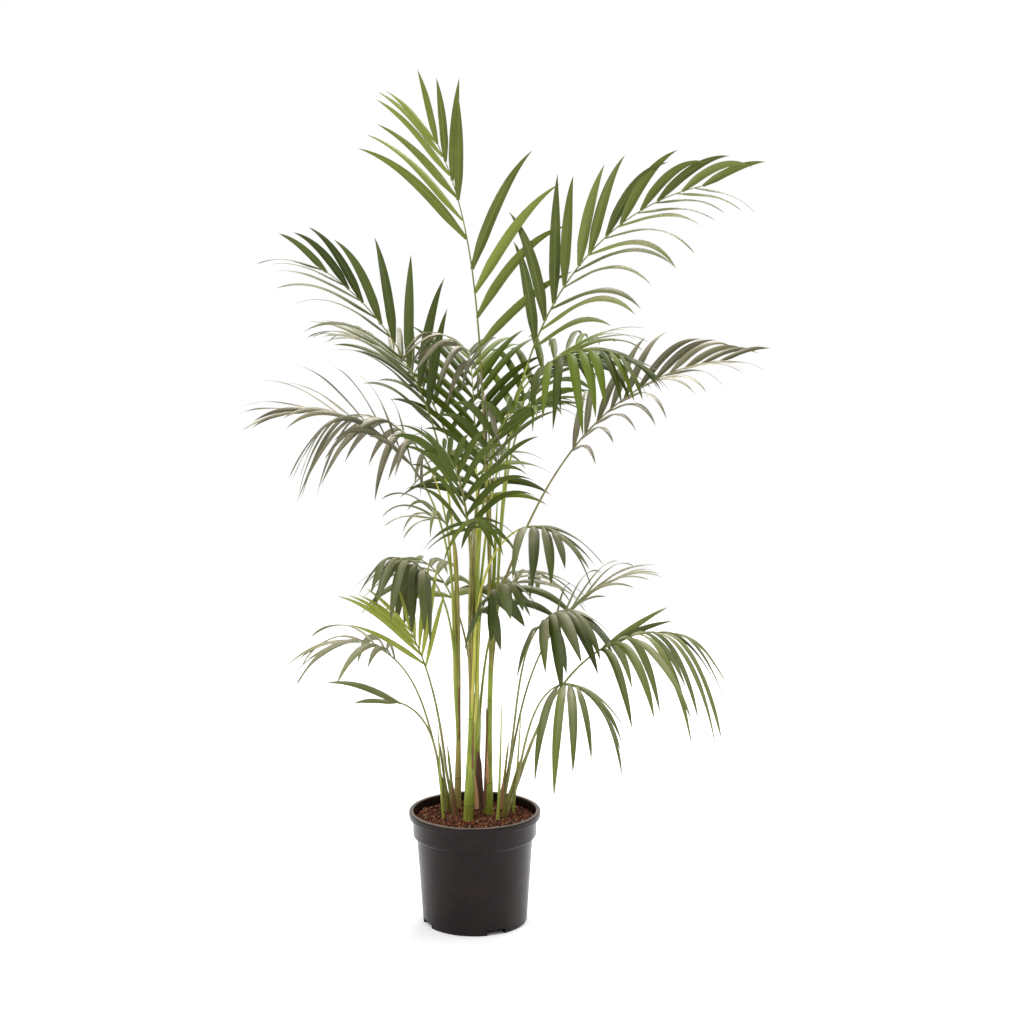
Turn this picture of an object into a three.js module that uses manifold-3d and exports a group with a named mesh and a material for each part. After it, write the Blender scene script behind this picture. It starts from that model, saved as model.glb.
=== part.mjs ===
// Potted areca palm: a clump of ring-marked canes and young shoots in a black nursery pot,
// each cane carrying arching feather fronds. Millimetres, +Z up, the pot's underside centre
// at the origin, +X to the right as the plant is seen from the front, the front towards -Y.
import * as THREE from "three";
import Module from "manifold-3d";

const wasm = await Module();
wasm.setup();

// Clear space between neighbouring pieces.
const GAP = 0.3;

// The pot.
const POT_HEIGHT = 207;
const POT_BASE_R = 95;
const POT_WAIST_R = 106;
const COLLAR_R = 112.5;
const RIM_R = 120;
const COLLAR_LOW_Z = 160;
const LIP_LOW_Z = 193;
const LIP_ROUND = 2.5;
const WALL = 2.2;
const FLOOR = 2.4;
const STEP_RISE = 5;
const POT_SIDES = 40;
const FOOT_ROUND = 2;
const STEP_HALF = 2;
const COLLAR_FLARE = 0.8;
const EDGE_ROUND = 1;
const CUT_PAST = 5;

// The drainage notches round its foot, by angle from straight ahead.
const NOTCH_WIDTH = 36;
const NOTCH_HEIGHT = 9;
const NOTCH_DEPTH = 18;
const NOTCH_WALL = 1.8;
const NOTCH_REACH = 12;
const NOTCH_ANGLES = [-65, 25, 115, 205];

// The potting mix.
const SOIL_Z = 187;
const SOIL_CROWN = 2.5;
const SOIL_FLAT_SHARE = 0.45;
const FOOT_SINK = 12;

// Canes and shoots.
const STEM_SIDES = 9;
const SPIKE_SIDES = 5;
const STUB_SIDES = 8;
const STEM_STEPS = 4;
const STEM_LINE_STEPS = 24;
const NODE_PROUD = 0.7;
const NODE_HALF = 2.5;
const SPEAR_TIP_R = 0.8;
const BUTT_SWELL = 1.06;
const BUTT_RISE = 22;

// Frond ribs.
const PETIOLE_FOOT_R = 2.8;
const RACHIS_START_R = 2;
const RACHIS_TIP_R = 1.1;
const PETIOLE_STEPS = 4;
const RACHIS_STEPS = 6;
const RIB_SIDES = 3;
const SPLIT_LEAN = 110;
const FROND_LINE_STEPS = 60;

// Leaflets: their sections, and the blade's width from root to tip.
const LEAF_STEPS = 12;
const LEAF_SECTIONS = [0, 3, 7];
const HINGED_SECTIONS = [0, 2, 6];
const STRAIGHT_SECTIONS = [0, 5];
const STRAIGHT_SAG = 1.15;
const HINGED = 0.5;
const ROOT_WIDTH = 0.35;
const WIDEN = 3.2;
const NARROW_FROM = 0.45;
const NARROW_POWER = 2.2;
const LEAF_THIN = 90;
const LEAF_MIN_DEPTH = 1.6;
const ROOT_SHARE = 0.4;
const LAST_ROOT = 0.985;
const NUDGES = [0, 6, -6, 12, -12, 18, -18];

// How leaflets differ along a rachis and from one to the next. The two sags each bow a
// leaflet as far in all: one evenly more towards its tip, the other mostly near its root.
const PAIR_PLACES = [0.5, 0.75];
const PLACE_JITTER = 0.275;
const SPREAD_JITTER = 8;
const LIFT_JITTER = 14;
const TWIST_JITTER = 30;
const LENGTH_RANGE = [0.92, 1.08];
const SAG_RANGE = [0.7, 1.3];
const SAG_LENGTH = 200;
const EVEN_SAG = 1.6;
const NEAR_SAG = 45;
const NEAR_POWER = 6;
const FIRST_SHORTER = 0.3;
const LAST_SHORTER = 0.5;
const SHORTEN_POWER = 1.4;
const WIDTH_POWER = 0.6;
const STILL = 1e-9;

const UP = new THREE.Vector3(0, 0, 1);

// The run of draws.
const DRAW_SPAN = 4294967296n;
const DRAW_SPREAD = 2654435761n;
const DRAW_STEP = 1664525n;
const DRAW_SHIFT = 1013904223n;

// Colour and finish of each material of the plant.
const FINISHES = {
  pot: { color: 0x2d2a2b, roughness: 0.48, metalness: 0 },
  soil: { color: 0x5f3728, roughness: 0.95, metalness: 0 },
  cane: { color: 0x7d9a3a, roughness: 0.5, metalness: 0 },
  aged: { color: 0x9a8a4a, roughness: 0.6, metalness: 0 },
  husk: { color: 0x4a2f1c, roughness: 0.85, metalness: 0 },
  bright: { color: 0x7f9a35, roughness: 0.5, metalness: 0 },
  mid: { color: 0x55703a, roughness: 0.5, metalness: 0 },
  deep: { color: 0x3f5a2c, roughness: 0.48, metalness: 0 },
  dusty: { color: 0x77775c, roughness: 0.6, metalness: 0 },
  fresh: { color: 0x93ab40, roughness: 0.5, metalness: 0 },
};

// Each cane or shoot: foot in plan, length, lean from upright at foot and top, plan direction
// of the lean, radii at foot and top, length of the unopened spear above, ring heights.
const STEMS = {
  cane_left: {
    foot: [-34, 72], height: 380, lean: [1.5, -0.5], azimuth: 0,
    radii: [6.8, 4.2], spear: 90, rings: [58, 200], finish: "aged",
  },
  cane_front: {
    foot: [-12, -8], height: 470, lean: [2, 1], azimuth: 0,
    radii: [9.2, 4.8], spear: 110, rings: [30, 190], finish: "cane",
  },
  cane_right: {
    foot: [24, 35], height: 480, lean: [0.5, 2.5], azimuth: 0,
    radii: [9, 4.8], spear: 120, rings: [60, 215], finish: "cane",
  },
  cane_back: {
    foot: [2, 88], height: 460, lean: [0.5, 4], azimuth: 80,
    radii: [8.4, 4.8], spear: 110, rings: [55, 210], finish: "cane",
  },
  shoot_left_a: {
    foot: [-51, 47], height: 110, lean: [5, 7], azimuth: 180,
    radii: [6, 4.5], spear: 24, rings: [30], finish: "cane",
  },
  shoot_left_b: {
    foot: [-38, 30], height: 110, lean: [5, 6], azimuth: 170,
    radii: [6, 4.5], spear: 24, rings: [34], finish: "cane",
  },
  shoot_right_a: {
    foot: [48, 66], height: 110, lean: [5, 7], azimuth: 0,
    radii: [5.5, 4], spear: 24, rings: [28], finish: "aged",
  },
  shoot_right_b: {
    foot: [54, 14], height: 100, lean: [13, 17], azimuth: 0,
    radii: [6.5, 5], spear: 20, rings: [26], finish: "cane",
  },
};

// New leaves still rolled into needles, standing in the mix.
const SPIKES = {
  spike_centre: { foot: [42, -4], height: 190, lean: [3, 1], azimuth: 10, radii: [3, 2], spear: 30 },
  spike_left: { foot: [-58, 8], height: 150, lean: [4, 2], azimuth: 185, radii: [2.6, 1.8], spear: 26 },
  spike_right: { foot: [70, 46], height: 165, lean: [6, 3], azimuth: 0, radii: [2.6, 1.8], spear: 28 },
};

// The dead sheath between the canes.
const STUB = { foot: [8, 63], height: 92, lean: [3, 4], azimuth: 250, radii: [9, 5.5], spear: 24 };

// What a frond has unless its own entry says otherwise.
const FROND = {
  seat: null, bend: 1.8, roll: 0, skew: 0, lift: 12, droop: 1.4, spread: [56, 21], fullest: 0.4,
  crowd: 1, turn: [0, 0], hinge: 0, bare: [[0, 0], [0, 0]],
};

// Each frond: the stem and the height it leaves at, its plan direction (0 right, 90 away,
// 180 left, 270 to the front), the bare stalk and the leafy rachis, lean from upright at
// both ends, leaflet pairs, the longest leaflet's length and width, and its tone. "seat" is
// the side of the stem its stalk starts on, "roll" turns the blade about the rachis. "turn"
// twists the leaflets of either side about their own length, "hinge" moves their bend from
// all along towards the root, "crowd" draws their places towards the rachis's tip, and "bare"
// is the stretch of rachis where a side has lost them.
const FRONDS = {
  top_left: {
    stem: "cane_right", at: 452, azimuth: 180, petiole: 388, rachis: 396, lean: [2, 27],
    bend: 4, roll: -80, pairs: 10, leaf: [262, 19], spread: [45, 14], skew: -2, lift: 8,
    droop: 0.75, crowd: 1.15, fullest: 0.35, turn: [0, 25], bare: [[0.45, 0.6], [0, 0.5]],
    tone: "bright", seed: 3,
  },
  top_right: {
    stem: "cane_right", at: 460, azimuth: 350, petiole: 390, rachis: 450, lean: [3, 80],
    bend: 2, roll: 65, pairs: 12, leaf: [222, 20], spread: [38, 24], skew: 3, lift: 22,
    droop: 1.5, fullest: 0.1, turn: [-60, 32], tone: "mid", seed: 5,
  },
  upper_left: {
    stem: "cane_left", at: 366, azimuth: 180, petiole: 320, rachis: 395, lean: [1, 58],
    roll: -55, pairs: 9, leaf: [222, 18], spread: [34, 14], lift: 18, droop: 1.1,
    turn: [-28, 55], bare: [[0, 0.06], [0, 0]], tone: "deep", seed: 7, seat: 122,
  },
  arch_left: {
    stem: "cane_right", at: 420, azimuth: 185, petiole: 238, rachis: 290, lean: [0, 104],
    bend: 5.5, pairs: 10, leaf: [165, 13], spread: [60, 20], droop: 3.2, hinge: 0.7,
    tone: "dusty", seed: 9, seat: 235,
  },
  left_reach: {
    stem: "cane_left", at: 322, azimuth: 190, petiole: 284, rachis: 306, lean: [2, 100],
    bend: 1.9, roll: -24, pairs: 9, leaf: [196, 12], spread: [50, 16], lift: 18, droop: 1.1,
    turn: [30, -15], tone: "dusty", seed: 11, seat: 225,
  },
  left_low: {
    stem: "cane_left", at: 268, azimuth: 186, petiole: 376, rachis: 236, lean: [1, 130],
    bend: 3.4, pairs: 9, leaf: [205, 14], spread: [60, 14], lift: 16, droop: 2.5,
    hinge: 0.65, fullest: 0.6, tone: "dusty", seed: 13, seat: 174,
  },
  right_reach: {
    stem: "cane_right", at: 405, azimuth: 345, petiole: 290, rachis: 345, lean: [21, 86],
    bend: 1.9, roll: 30, pairs: 11, leaf: [170, 14], spread: [52, 20], lift: 22, droop: 1.8,
    turn: [-40, 35], tone: "dusty", seed: 15,
  },
  front_right: {
    stem: "cane_front", at: 440, azimuth: 318, petiole: 398, rachis: 226, lean: [4, 112],
    bend: 2, roll: 10, pairs: 10, leaf: [172, 17], spread: [60, 20], lift: 8, droop: 2.4,
    hinge: 0.45, tone: "mid", seed: 17,
  },
  front_mid: {
    stem: "cane_front", at: 348, azimuth: 311, petiole: 252, rachis: 92, lean: [8, 108],
    bend: 1.6, pairs: 4, leaf: [148, 19], spread: [58, 14], lift: 8, droop: 3, hinge: 0.5,
    tone: "deep", seed: 19, seat: 292,
  },
  front_high: {
    stem: "cane_front", at: 462, azimuth: 300, petiole: 150, rachis: 270, lean: [4, 92],
    pairs: 8, leaf: [185, 13], spread: [56, 22], tone: "mid", seed: 21, seat: 255,
  },
  inner_left: {
    stem: "cane_front", at: 400, azimuth: 252, petiole: 120, rachis: 230, lean: [3, 66],
    bend: 1.7, roll: -10, pairs: 8, leaf: [172, 12], spread: [46, 18], lift: 22, droop: 1.7,
    tone: "mid", seed: 51,
  },
  inner_right: {
    stem: "cane_right", at: 430, azimuth: 325, petiole: 290, rachis: 250, lean: [5, 110],
    bend: 3, roll: 10, pairs: 7, leaf: [190, 14], spread: [54, 20], lift: 15, droop: 1.8,
    hinge: 0.4, tone: "mid", seed: 53,
  },
  left_thin: {
    stem: "cane_left", at: 340, azimuth: 205, petiole: 190, rachis: 44, lean: [1, 100],
    bend: 6, pairs: 4, leaf: [152, 11], spread: [52, 24], lift: 15, droop: 2.4, tone: "mid",
    seed: 27, seat: 275,
  },
  left_mid: {
    stem: "cane_left", at: 262, azimuth: 206, petiole: 176, rachis: 112, lean: [5, 94],
    bend: 2.3, pairs: 6, leaf: [148, 20], spread: [64, 20], lift: 6, droop: 5, hinge: 0.85,
    tone: "deep", seed: 22, seat: 226,
  },
  front_low: {
    stem: "cane_front", at: 262, azimuth: 325, petiole: 112, rachis: 122, lean: [0, 104],
    bend: 3, pairs: 5, leaf: [108, 26], spread: [62, 24], lift: 10, droop: 6, hinge: 0.8,
    tone: "deep", seed: 25, seat: 355,
  },
  low_right_in: {
    stem: "shoot_right_a", at: 104, azimuth: 334, petiole: 242, rachis: 96, lean: [7, 96],
    bend: 4, pairs: 6, leaf: [182, 24], spread: [66, 16], droop: 3, hinge: 0.6,
    tone: "deep", seed: 23,
  },
  low_right_back: {
    stem: "shoot_right_a", at: 70, azimuth: 15, petiole: 256, rachis: 170, lean: [10, 72],
    bend: 2.2, pairs: 6, leaf: [185, 12], spread: [34, 14], lift: 16, droop: 1.6,
    tone: "mid", seed: 33,
  },
  low_right_out: {
    stem: "shoot_right_b", at: 92, azimuth: 355, petiole: 262, rachis: 180, lean: [18, 108],
    roll: 10, pairs: 7, leaf: [240, 18], spread: [62, 10], droop: 2.3, hinge: 0.6,
    fullest: 0.75, tone: "mid", seed: 29,
  },
  low_right_hand: {
    stem: "shoot_right_b", at: 60, azimuth: 316, petiole: 232, rachis: 62, lean: [14, 106],
    bend: 3, pairs: 4, leaf: [222, 18], spread: [84, 18], lift: -8, droop: 2.6, hinge: 0.4,
    tone: "mid", seed: 31,
  },
  low_left_arch: {
    stem: "shoot_left_a", at: 104, azimuth: 183, petiole: 196, rachis: 120, lean: [13, 110],
    bend: 2.5, pairs: 6, leaf: [196, 15], spread: [60, 14], lift: 30, droop: 2.2,
    hinge: 0.4, tone: "mid", seed: 37,
  },
  low_left_pair: {
    stem: "shoot_left_a", at: 50, azimuth: 205, petiole: 184, rachis: 20, lean: [6, 76],
    bend: 2.2, roll: -50, pairs: 1, leaf: [152, 13], spread: [10, 8], droop: 0.8,
    tone: "mid", seed: 41,
  },
  low_left_fresh: {
    stem: "shoot_left_b", at: 104, azimuth: 170, petiole: 170, rachis: 85, lean: [7, 28],
    bend: 1.6, roll: -60, pairs: 5, leaf: [195, 10], spread: [36, 14], droop: 0.5,
    tone: "fresh", seed: 43,
  },
  back_high: {
    stem: "cane_back", at: 440, azimuth: 95, petiole: 200, rachis: 320, lean: [6, 85],
    bend: 1.9, pairs: 11, leaf: [200, 14], spread: [50, 20], lift: 18, droop: 0.9,
    tone: "mid", seed: 61,
  },
  back_left: {
    stem: "cane_back", at: 430, azimuth: 138, petiole: 250, rachis: 360, lean: [8, 92],
    pairs: 10, leaf: [195, 14], spread: [52, 20], lift: 18, droop: 1.2, tone: "deep",
    seed: 63,
  },
  back_right: {
    stem: "cane_back", at: 420, azimuth: 48, petiole: 260, rachis: 370, lean: [8, 96],
    pairs: 10, leaf: [195, 14], spread: [52, 20], lift: 18, droop: 1.3, tone: "mid",
    seed: 65,
  },
  back_mid: {
    stem: "cane_back", at: 350, azimuth: 92, petiole: 200, rachis: 300, lean: [10, 112],
    bend: 1.7, pairs: 8, leaf: [190, 17], spread: [56, 22], lift: 15, droop: 1.7,
    hinge: 0.5, tone: "mid", seed: 67,
  },
  back_low_left: {
    stem: "cane_back", at: 200, azimuth: 128, petiole: 180, rachis: 220, lean: [9, 118],
    pairs: 7, leaf: [175, 17], spread: [58, 22], droop: 2, hinge: 0.5, tone: "mid",
    seed: 69,
  },
  back_low_right: {
    stem: "cane_back", at: 170, azimuth: 62, petiole: 200, rachis: 200, lean: [10, 120],
    bend: 1.9, pairs: 7, leaf: [175, 17], spread: [58, 22], droop: 2, hinge: 0.5,
    tone: "deep", seed: 71,
  },
  low_right_spray: {
    stem: "shoot_right_b", at: 76, azimuth: 3, petiole: 284, rachis: 24, lean: [19, 62],
    bend: 1.9, roll: 70, pairs: 1, leaf: [150, 12], spread: [7, 6], droop: 0.2, tone: "mid",
    seed: 35, seat: 40,
  },
  front_belt: {
    stem: "cane_front", at: 356, azimuth: 278, petiole: 192, rachis: 84, lean: [8, 110],
    bend: 3.4, pairs: 5, leaf: [116, 17], spread: [72, 30], lift: 10, droop: 4, hinge: 0.5,
    tone: "mid", seed: 57, seat: 222,
  },
};

// Small measures shared by everything below.
const radians = (degrees) => (degrees * Math.PI) / 180;
const mix = (a, b, t) => a + (b - a) * t;

function plan(degrees) {
  const a = radians(degrees);
  return new THREE.Vector3(Math.cos(a), Math.sin(a), 0);
}

function leaning(out, degrees) {
  const a = radians(degrees);
  return out.clone().multiplyScalar(Math.sin(a)).addScaledVector(UP, Math.cos(a));
}

// An even spread of numbers from 0 to 1 that comes out the same each time for one seed.
function seeded(seed) {
  let state = (BigInt(seed) * DRAW_SPREAD) % DRAW_SPAN;
  return () => {
    state = (state * DRAW_STEP + DRAW_SHIFT) % DRAW_SPAN;
    return Number(state) / Number(DRAW_SPAN);
  };
}

// A closed body from rings of equal point count, capped at both ends or brought to a point.
function skin(rings, tip = null) {
  const sides = rings[0].length;
  const points = rings.flat();
  const faces = [];
  for (let k = 1; k < sides - 1; k += 1) {
    faces.push([0, k + 1, k]);
  }
  for (let i = 0; i < rings.length - 1; i += 1) {
    for (let k = 0; k < sides; k += 1) {
      const a = i * sides + k;
      const b = i * sides + ((k + 1) % sides);
      faces.push([a, b, b + sides], [a, b + sides, a + sides]);
    }
  }
  const last = (rings.length - 1) * sides;
  if (tip) {
    points.push(tip);
    for (let k = 0; k < sides; k += 1) {
      faces.push([last + k, last + ((k + 1) % sides), points.length - 1]);
    }
  } else {
    for (let k = 1; k < sides - 1; k += 1) {
      faces.push([last, last + k, last + k + 1]);
    }
  }
  return solid(points, faces);
}

function solid(points, faces) {
  return new wasm.Manifold(new wasm.Mesh({
    numProp: 3,
    vertProperties: new Float32Array(points.flatMap((p) => [p.x, p.y, p.z])),
    triVerts: new Uint32Array(faces.flat()),
  }));
}

// A turned body from a profile of [radius, height] pairs that starts and ends on the axis.
function turned(profile, sides) {
  const rings = profile.slice(1, -1).map(([r, z]) => {
    const ring = [];
    for (let k = 0; k < sides; k += 1) {
      ring.push(plan((360 * k) / sides).multiplyScalar(r).setZ(z));
    }
    return ring;
  });
  return skin(rings);
}

function mesh(name, body, finish) {
  const data = body.getMesh();
  const geometry = new THREE.BufferGeometry();
  geometry.setAttribute("position", new THREE.BufferAttribute(data.vertProperties, 3));
  geometry.setIndex(new THREE.BufferAttribute(data.triVerts, 1));
  geometry.computeVertexNormals();
  const piece = new THREE.Mesh(geometry, new THREE.MeshStandardMaterial(FINISHES[finish]));
  piece.name = name;
  return piece;
}

// The pot's outside from the axis up to the rim.
function potOutside() {
  return [
    [0, 0],
    [POT_BASE_R - FOOT_ROUND, 0],
    [POT_BASE_R, FOOT_ROUND],
    [POT_WAIST_R, COLLAR_LOW_Z - STEP_HALF],
    [COLLAR_R - EDGE_ROUND, COLLAR_LOW_Z],
    [COLLAR_R, COLLAR_LOW_Z + STEP_HALF],
    [COLLAR_R + COLLAR_FLARE, LIP_LOW_Z - EDGE_ROUND],
    [RIM_R - EDGE_ROUND, LIP_LOW_Z],
    [RIM_R, LIP_LOW_Z + STEP_HALF],
    [RIM_R, POT_HEIGHT - LIP_ROUND],
    [RIM_R - LIP_ROUND, POT_HEIGHT],
    [0, POT_HEIGHT],
  ];
}

// The space inside the wall, drawn in by "slack" and open to "top".
function potInside(slack, top) {
  const inner = (r) => r - WALL - slack;
  const low = FLOOR + slack;
  return [
    [0, low],
    [inner(POT_BASE_R), low],
    [inner(POT_WAIST_R), COLLAR_LOW_Z - STEP_HALF + slack],
    [inner(COLLAR_R), COLLAR_LOW_Z + STEP_RISE + slack],
    [inner(COLLAR_R), top],
    [0, top],
  ];
}

// A block reaching in over one notch from the pot's foot, "grow" mm larger all round.
function notchBlock(angle, grow) {
  const out = plan(angle - 90);
  const across = new THREE.Vector3(-out.y, out.x, 0);
  const half = NOTCH_WIDTH / 2 + grow;
  const near = POT_BASE_R - NOTCH_DEPTH - grow;
  const far = POT_BASE_R + NOTCH_REACH;
  const ring = (z) => [
    [near, -half], [far, -half], [far, half], [near, half],
  ].map(([r, w]) => out.clone().multiplyScalar(r).addScaledVector(across, w).setZ(z));
  return skin([ring(-NOTCH_REACH), ring(NOTCH_HEIGHT + grow)]);
}

function pot() {
  const outside = turned(potOutside(), POT_SIDES);
  let body = outside.subtract(turned(potInside(0, POT_HEIGHT + CUT_PAST), POT_SIDES));
  for (const angle of NOTCH_ANGLES) {
    body = body.add(notchBlock(angle, NOTCH_WALL).intersect(outside));
  }
  for (const angle of NOTCH_ANGLES) {
    body = body.subtract(notchBlock(angle, 0));
  }
  return body;
}

// The mix fills the pot, clear of the walls and notches, with a hole for each stem's foot.
function soil(feet) {
  const profile = potInside(GAP, SOIL_Z);
  const top = SOIL_Z + SOIL_CROWN;
  profile.splice(-1, 1, [COLLAR_R * SOIL_FLAT_SHARE, top], [0, top]);
  let body = turned(profile, POT_SIDES);
  for (const angle of NOTCH_ANGLES) {
    body = body.subtract(notchBlock(angle, NOTCH_WALL + GAP));
  }
  for (const foot of feet) {
    body = body.subtract(foot);
  }
  return body;
}

// Point, direction and radius of a stem at length s above its foot on the mix.
function stemAt(stem, s) {
  const out = plan(stem.azimuth);
  const point = new THREE.Vector3(stem.foot[0], stem.foot[1], SOIL_Z);
  let way = leaning(out, stem.lean[0]);
  for (let i = 0; i < STEM_LINE_STEPS; i += 1) {
    const u = ((i + 0.5) * s) / STEM_LINE_STEPS / stem.height;
    way = leaning(out, mix(stem.lean[0], stem.lean[1], u));
    point.addScaledVector(way, s / STEM_LINE_STEPS);
  }
  return { point, way, radius: stemRadius(stem, s) };
}

function stemRadius(stem, s) {
  const [foot, top] = stem.radii;
  if (s > stem.height) {
    return mix(top, SPEAR_TIP_R, (s - stem.height) / stem.spear);
  }
  const butt = 1 + (BUTT_SWELL - 1) * Math.max(0, 1 - Math.max(0, s) / BUTT_RISE);
  return mix(foot, top, Math.max(0, s) / stem.height) * butt;
}

// Heights and swellings of a stem's sections: an even run, closer at each leaf-scar ring.
function stemSections(stem) {
  const sections = [{ s: -FOOT_SINK, proud: 0 }, { s: BUTT_RISE, proud: 0 }];
  for (let i = 1; i <= STEM_STEPS; i += 1) {
    sections.push({ s: (stem.height * i) / STEM_STEPS, proud: 0 });
  }
  for (const ring of stem.rings ?? []) {
    sections.push({ s: ring - NODE_HALF, proud: 0 });
    sections.push({ s: ring, proud: NODE_PROUD });
    sections.push({ s: ring + NODE_HALF, proud: 0 });
  }
  sections.push({ s: stem.height + stem.spear, proud: 0 });
  return sections.sort((a, b) => a.s - b.s);
}

// A stem's body, "grow" mm fatter for the hole it leaves in the mix.
function stemBody(stem, grow, sides) {
  const out = plan(stem.azimuth);
  const across = new THREE.Vector3().crossVectors(UP, out);
  const rings = stemSections(stem).map(({ s, proud }, i) => {
    const { point, way, radius } = stemAt(stem, i === 0 ? s - grow : s);
    const side = new THREE.Vector3().crossVectors(across, way).normalize();
    const r = radius + proud + grow;
    const ring = [];
    for (let k = 0; k < sides; k += 1) {
      const a = (2 * Math.PI * k) / sides;
      ring.push(point.clone()
        .addScaledVector(side, r * Math.cos(a))
        .addScaledVector(across, r * Math.sin(a)));
    }
    return ring;
  });
  return skin(rings);
}

// The way a frond points and faces at share u of its length: along, face and side.
function facing(frond, u) {
  const out = plan(frond.azimuth);
  const lean = radians(mix(frond.lean[0], frond.lean[1], u ** frond.bend));
  const along = out.clone().multiplyScalar(Math.sin(lean)).addScaledVector(UP, Math.cos(lean));
  const flat = UP.clone().multiplyScalar(Math.sin(lean)).addScaledVector(out, -Math.cos(lean));
  const edge = new THREE.Vector3().crossVectors(along, flat);
  const roll = radians(frond.roll);
  return {
    along,
    face: flat.clone().multiplyScalar(Math.cos(roll)).addScaledVector(edge, Math.sin(roll)),
    side: edge.clone().multiplyScalar(Math.cos(roll)).addScaledVector(flat, -Math.sin(roll)),
  };
}

function ribRadius(frond, s) {
  if (s < frond.petiole) {
    return mix(PETIOLE_FOOT_R, RACHIS_START_R, s / frond.petiole);
  }
  return mix(RACHIS_START_R, RACHIS_TIP_R, (s - frond.petiole) / frond.rachis);
}

function ribSection(centre, pose, radius) {
  const ring = [];
  for (let k = 0; k < RIB_SIDES; k += 1) {
    const a = (2 * Math.PI * k) / RIB_SIDES;
    ring.push(centre.clone()
      .addScaledVector(pose.face, radius * Math.cos(a))
      .addScaledVector(pose.side, radius * Math.sin(a)));
  }
  return ring;
}

// Where a frond's stalk starts: GAP off the skin of its stem, on the side it is seated.
function frondFoot(frond) {
  const { point, way, radius } = stemAt(STEMS[frond.stem], frond.at);
  const seat = plan(frond.seat ?? frond.azimuth);
  const off = seat.clone().addScaledVector(way, -seat.dot(way)).normalize();
  const start = ribSection(new THREE.Vector3(), facing(frond, 0), PETIOLE_FOOT_R);
  const reach = Math.max(...start.map((corner) => -corner.dot(off)));
  return point.addScaledVector(off, radius + GAP + reach);
}

// Points along a frond's centre line, in fine even steps.
function frondLine(frond) {
  const step = (frond.petiole + frond.rachis) / FROND_LINE_STEPS;
  const points = [frondFoot(frond)];
  for (let i = 0; i < FROND_LINE_STEPS; i += 1) {
    const { along } = facing(frond, (i + 0.5) / FROND_LINE_STEPS);
    points.push(points[i].clone().addScaledVector(along, step));
  }
  return (u) => {
    const x = Math.min(u, 1) * FROND_LINE_STEPS;
    const i = Math.min(Math.floor(x), FROND_LINE_STEPS - 1);
    return points[i].clone().lerp(points[i + 1], x - i);
  };
}

// The rib's sections from the stalk's foot to its tip, straight between one and the next.
function ribCourse(frond) {
  const line = frondLine(frond);
  const length = frond.petiole + frond.rachis;
  const course = [];
  for (let i = 0; i <= PETIOLE_STEPS + RACHIS_STEPS; i += 1) {
    const s = i <= PETIOLE_STEPS
      ? (frond.petiole * i) / PETIOLE_STEPS
      : frond.petiole + (frond.rachis * (i - PETIOLE_STEPS)) / RACHIS_STEPS;
    course.push({ centre: line(s / length), pose: facing(frond, s / length) });
    course[i].radius = ribRadius(frond, s);
  }
  return course;
}

function ribBody(course) {
  return skin(course.map(({ centre, pose, radius }) => ribSection(centre, pose, radius)));
}

// The bare stalk of a frond that bows far over, ending GAP short of the leafy rachis.
function stalkBody(course) {
  const stalk = course.slice(0, PETIOLE_STEPS + 1);
  const end = stalk[PETIOLE_STEPS];
  stalk[PETIOLE_STEPS] = { ...end, centre: end.centre.clone().addScaledVector(end.pose.along, -GAP) };
  return ribBody(stalk);
}

// The middle of the rib at share t of the rachis.
function rootPoint(course, t) {
  const x = PETIOLE_STEPS + t * RACHIS_STEPS;
  const i = Math.min(Math.floor(x), course.length - 2);
  return course[i].centre.clone().lerp(course[i + 1].centre, x - i);
}

// Share of the longest leaflet's length at share t of the rachis.
function lengthShare(t, fullest) {
  return t < fullest
    ? 1 - FIRST_SHORTER * (1 - t / fullest) ** 2
    : 1 - LAST_SHORTER * ((t - fullest) / (1 - fullest)) ** SHORTEN_POWER;
}

// Every leaflet's root, first direction, face, length and sag, side by side up the rachis.
function leafletPlan(frond, course) {
  const draw = seeded(frond.seed);
  const around = (width) => (draw() - 0.5) * width;
  const length = frond.petiole + frond.rachis;
  const leaflets = [];
  for (let i = 0; i < frond.pairs; i += 1) {
    for (const side of [0, 1]) {
      const hand = side === 0 ? 1 : -1;
      const even = (i + PAIR_PLACES[side] + around(PLACE_JITTER)) / frond.pairs;
      const t = 1 - (1 - even) ** frond.crowd;
      const beta = mix(...frond.spread, t) + hand * frond.skew + around(SPREAD_JITTER);
      const lift = frond.lift + around(LIFT_JITTER);
      const share = lengthShare(t, frond.fullest);
      const reach = frond.leaf[0] * share * mix(...LENGTH_RANGE, draw());
      const width = frond.leaf[1] * share ** WIDTH_POWER;
      const twist = frond.turn[side] + around(TWIST_JITTER);
      const sag = (frond.droop * mix(...SAG_RANGE, draw()) * reach) / SAG_LENGTH;
      const [bareFrom, bareTo] = frond.bare[side];
      if (t >= bareFrom && t < bareTo) {
        continue;
      }
      const s = frond.petiole + frond.rachis * Math.min(t, LAST_ROOT);
      const root = rootPoint(course, Math.min(t, LAST_ROOT));
      const pose = facing(frond, s / length);
      const ribR = ribRadius(frond, s);
      const { hinge } = frond;
      leaflets.push({ root, pose, ribR, hand, beta, lift, reach, width, twist, sag, hinge });
    }
  }
  return leaflets;
}

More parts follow.
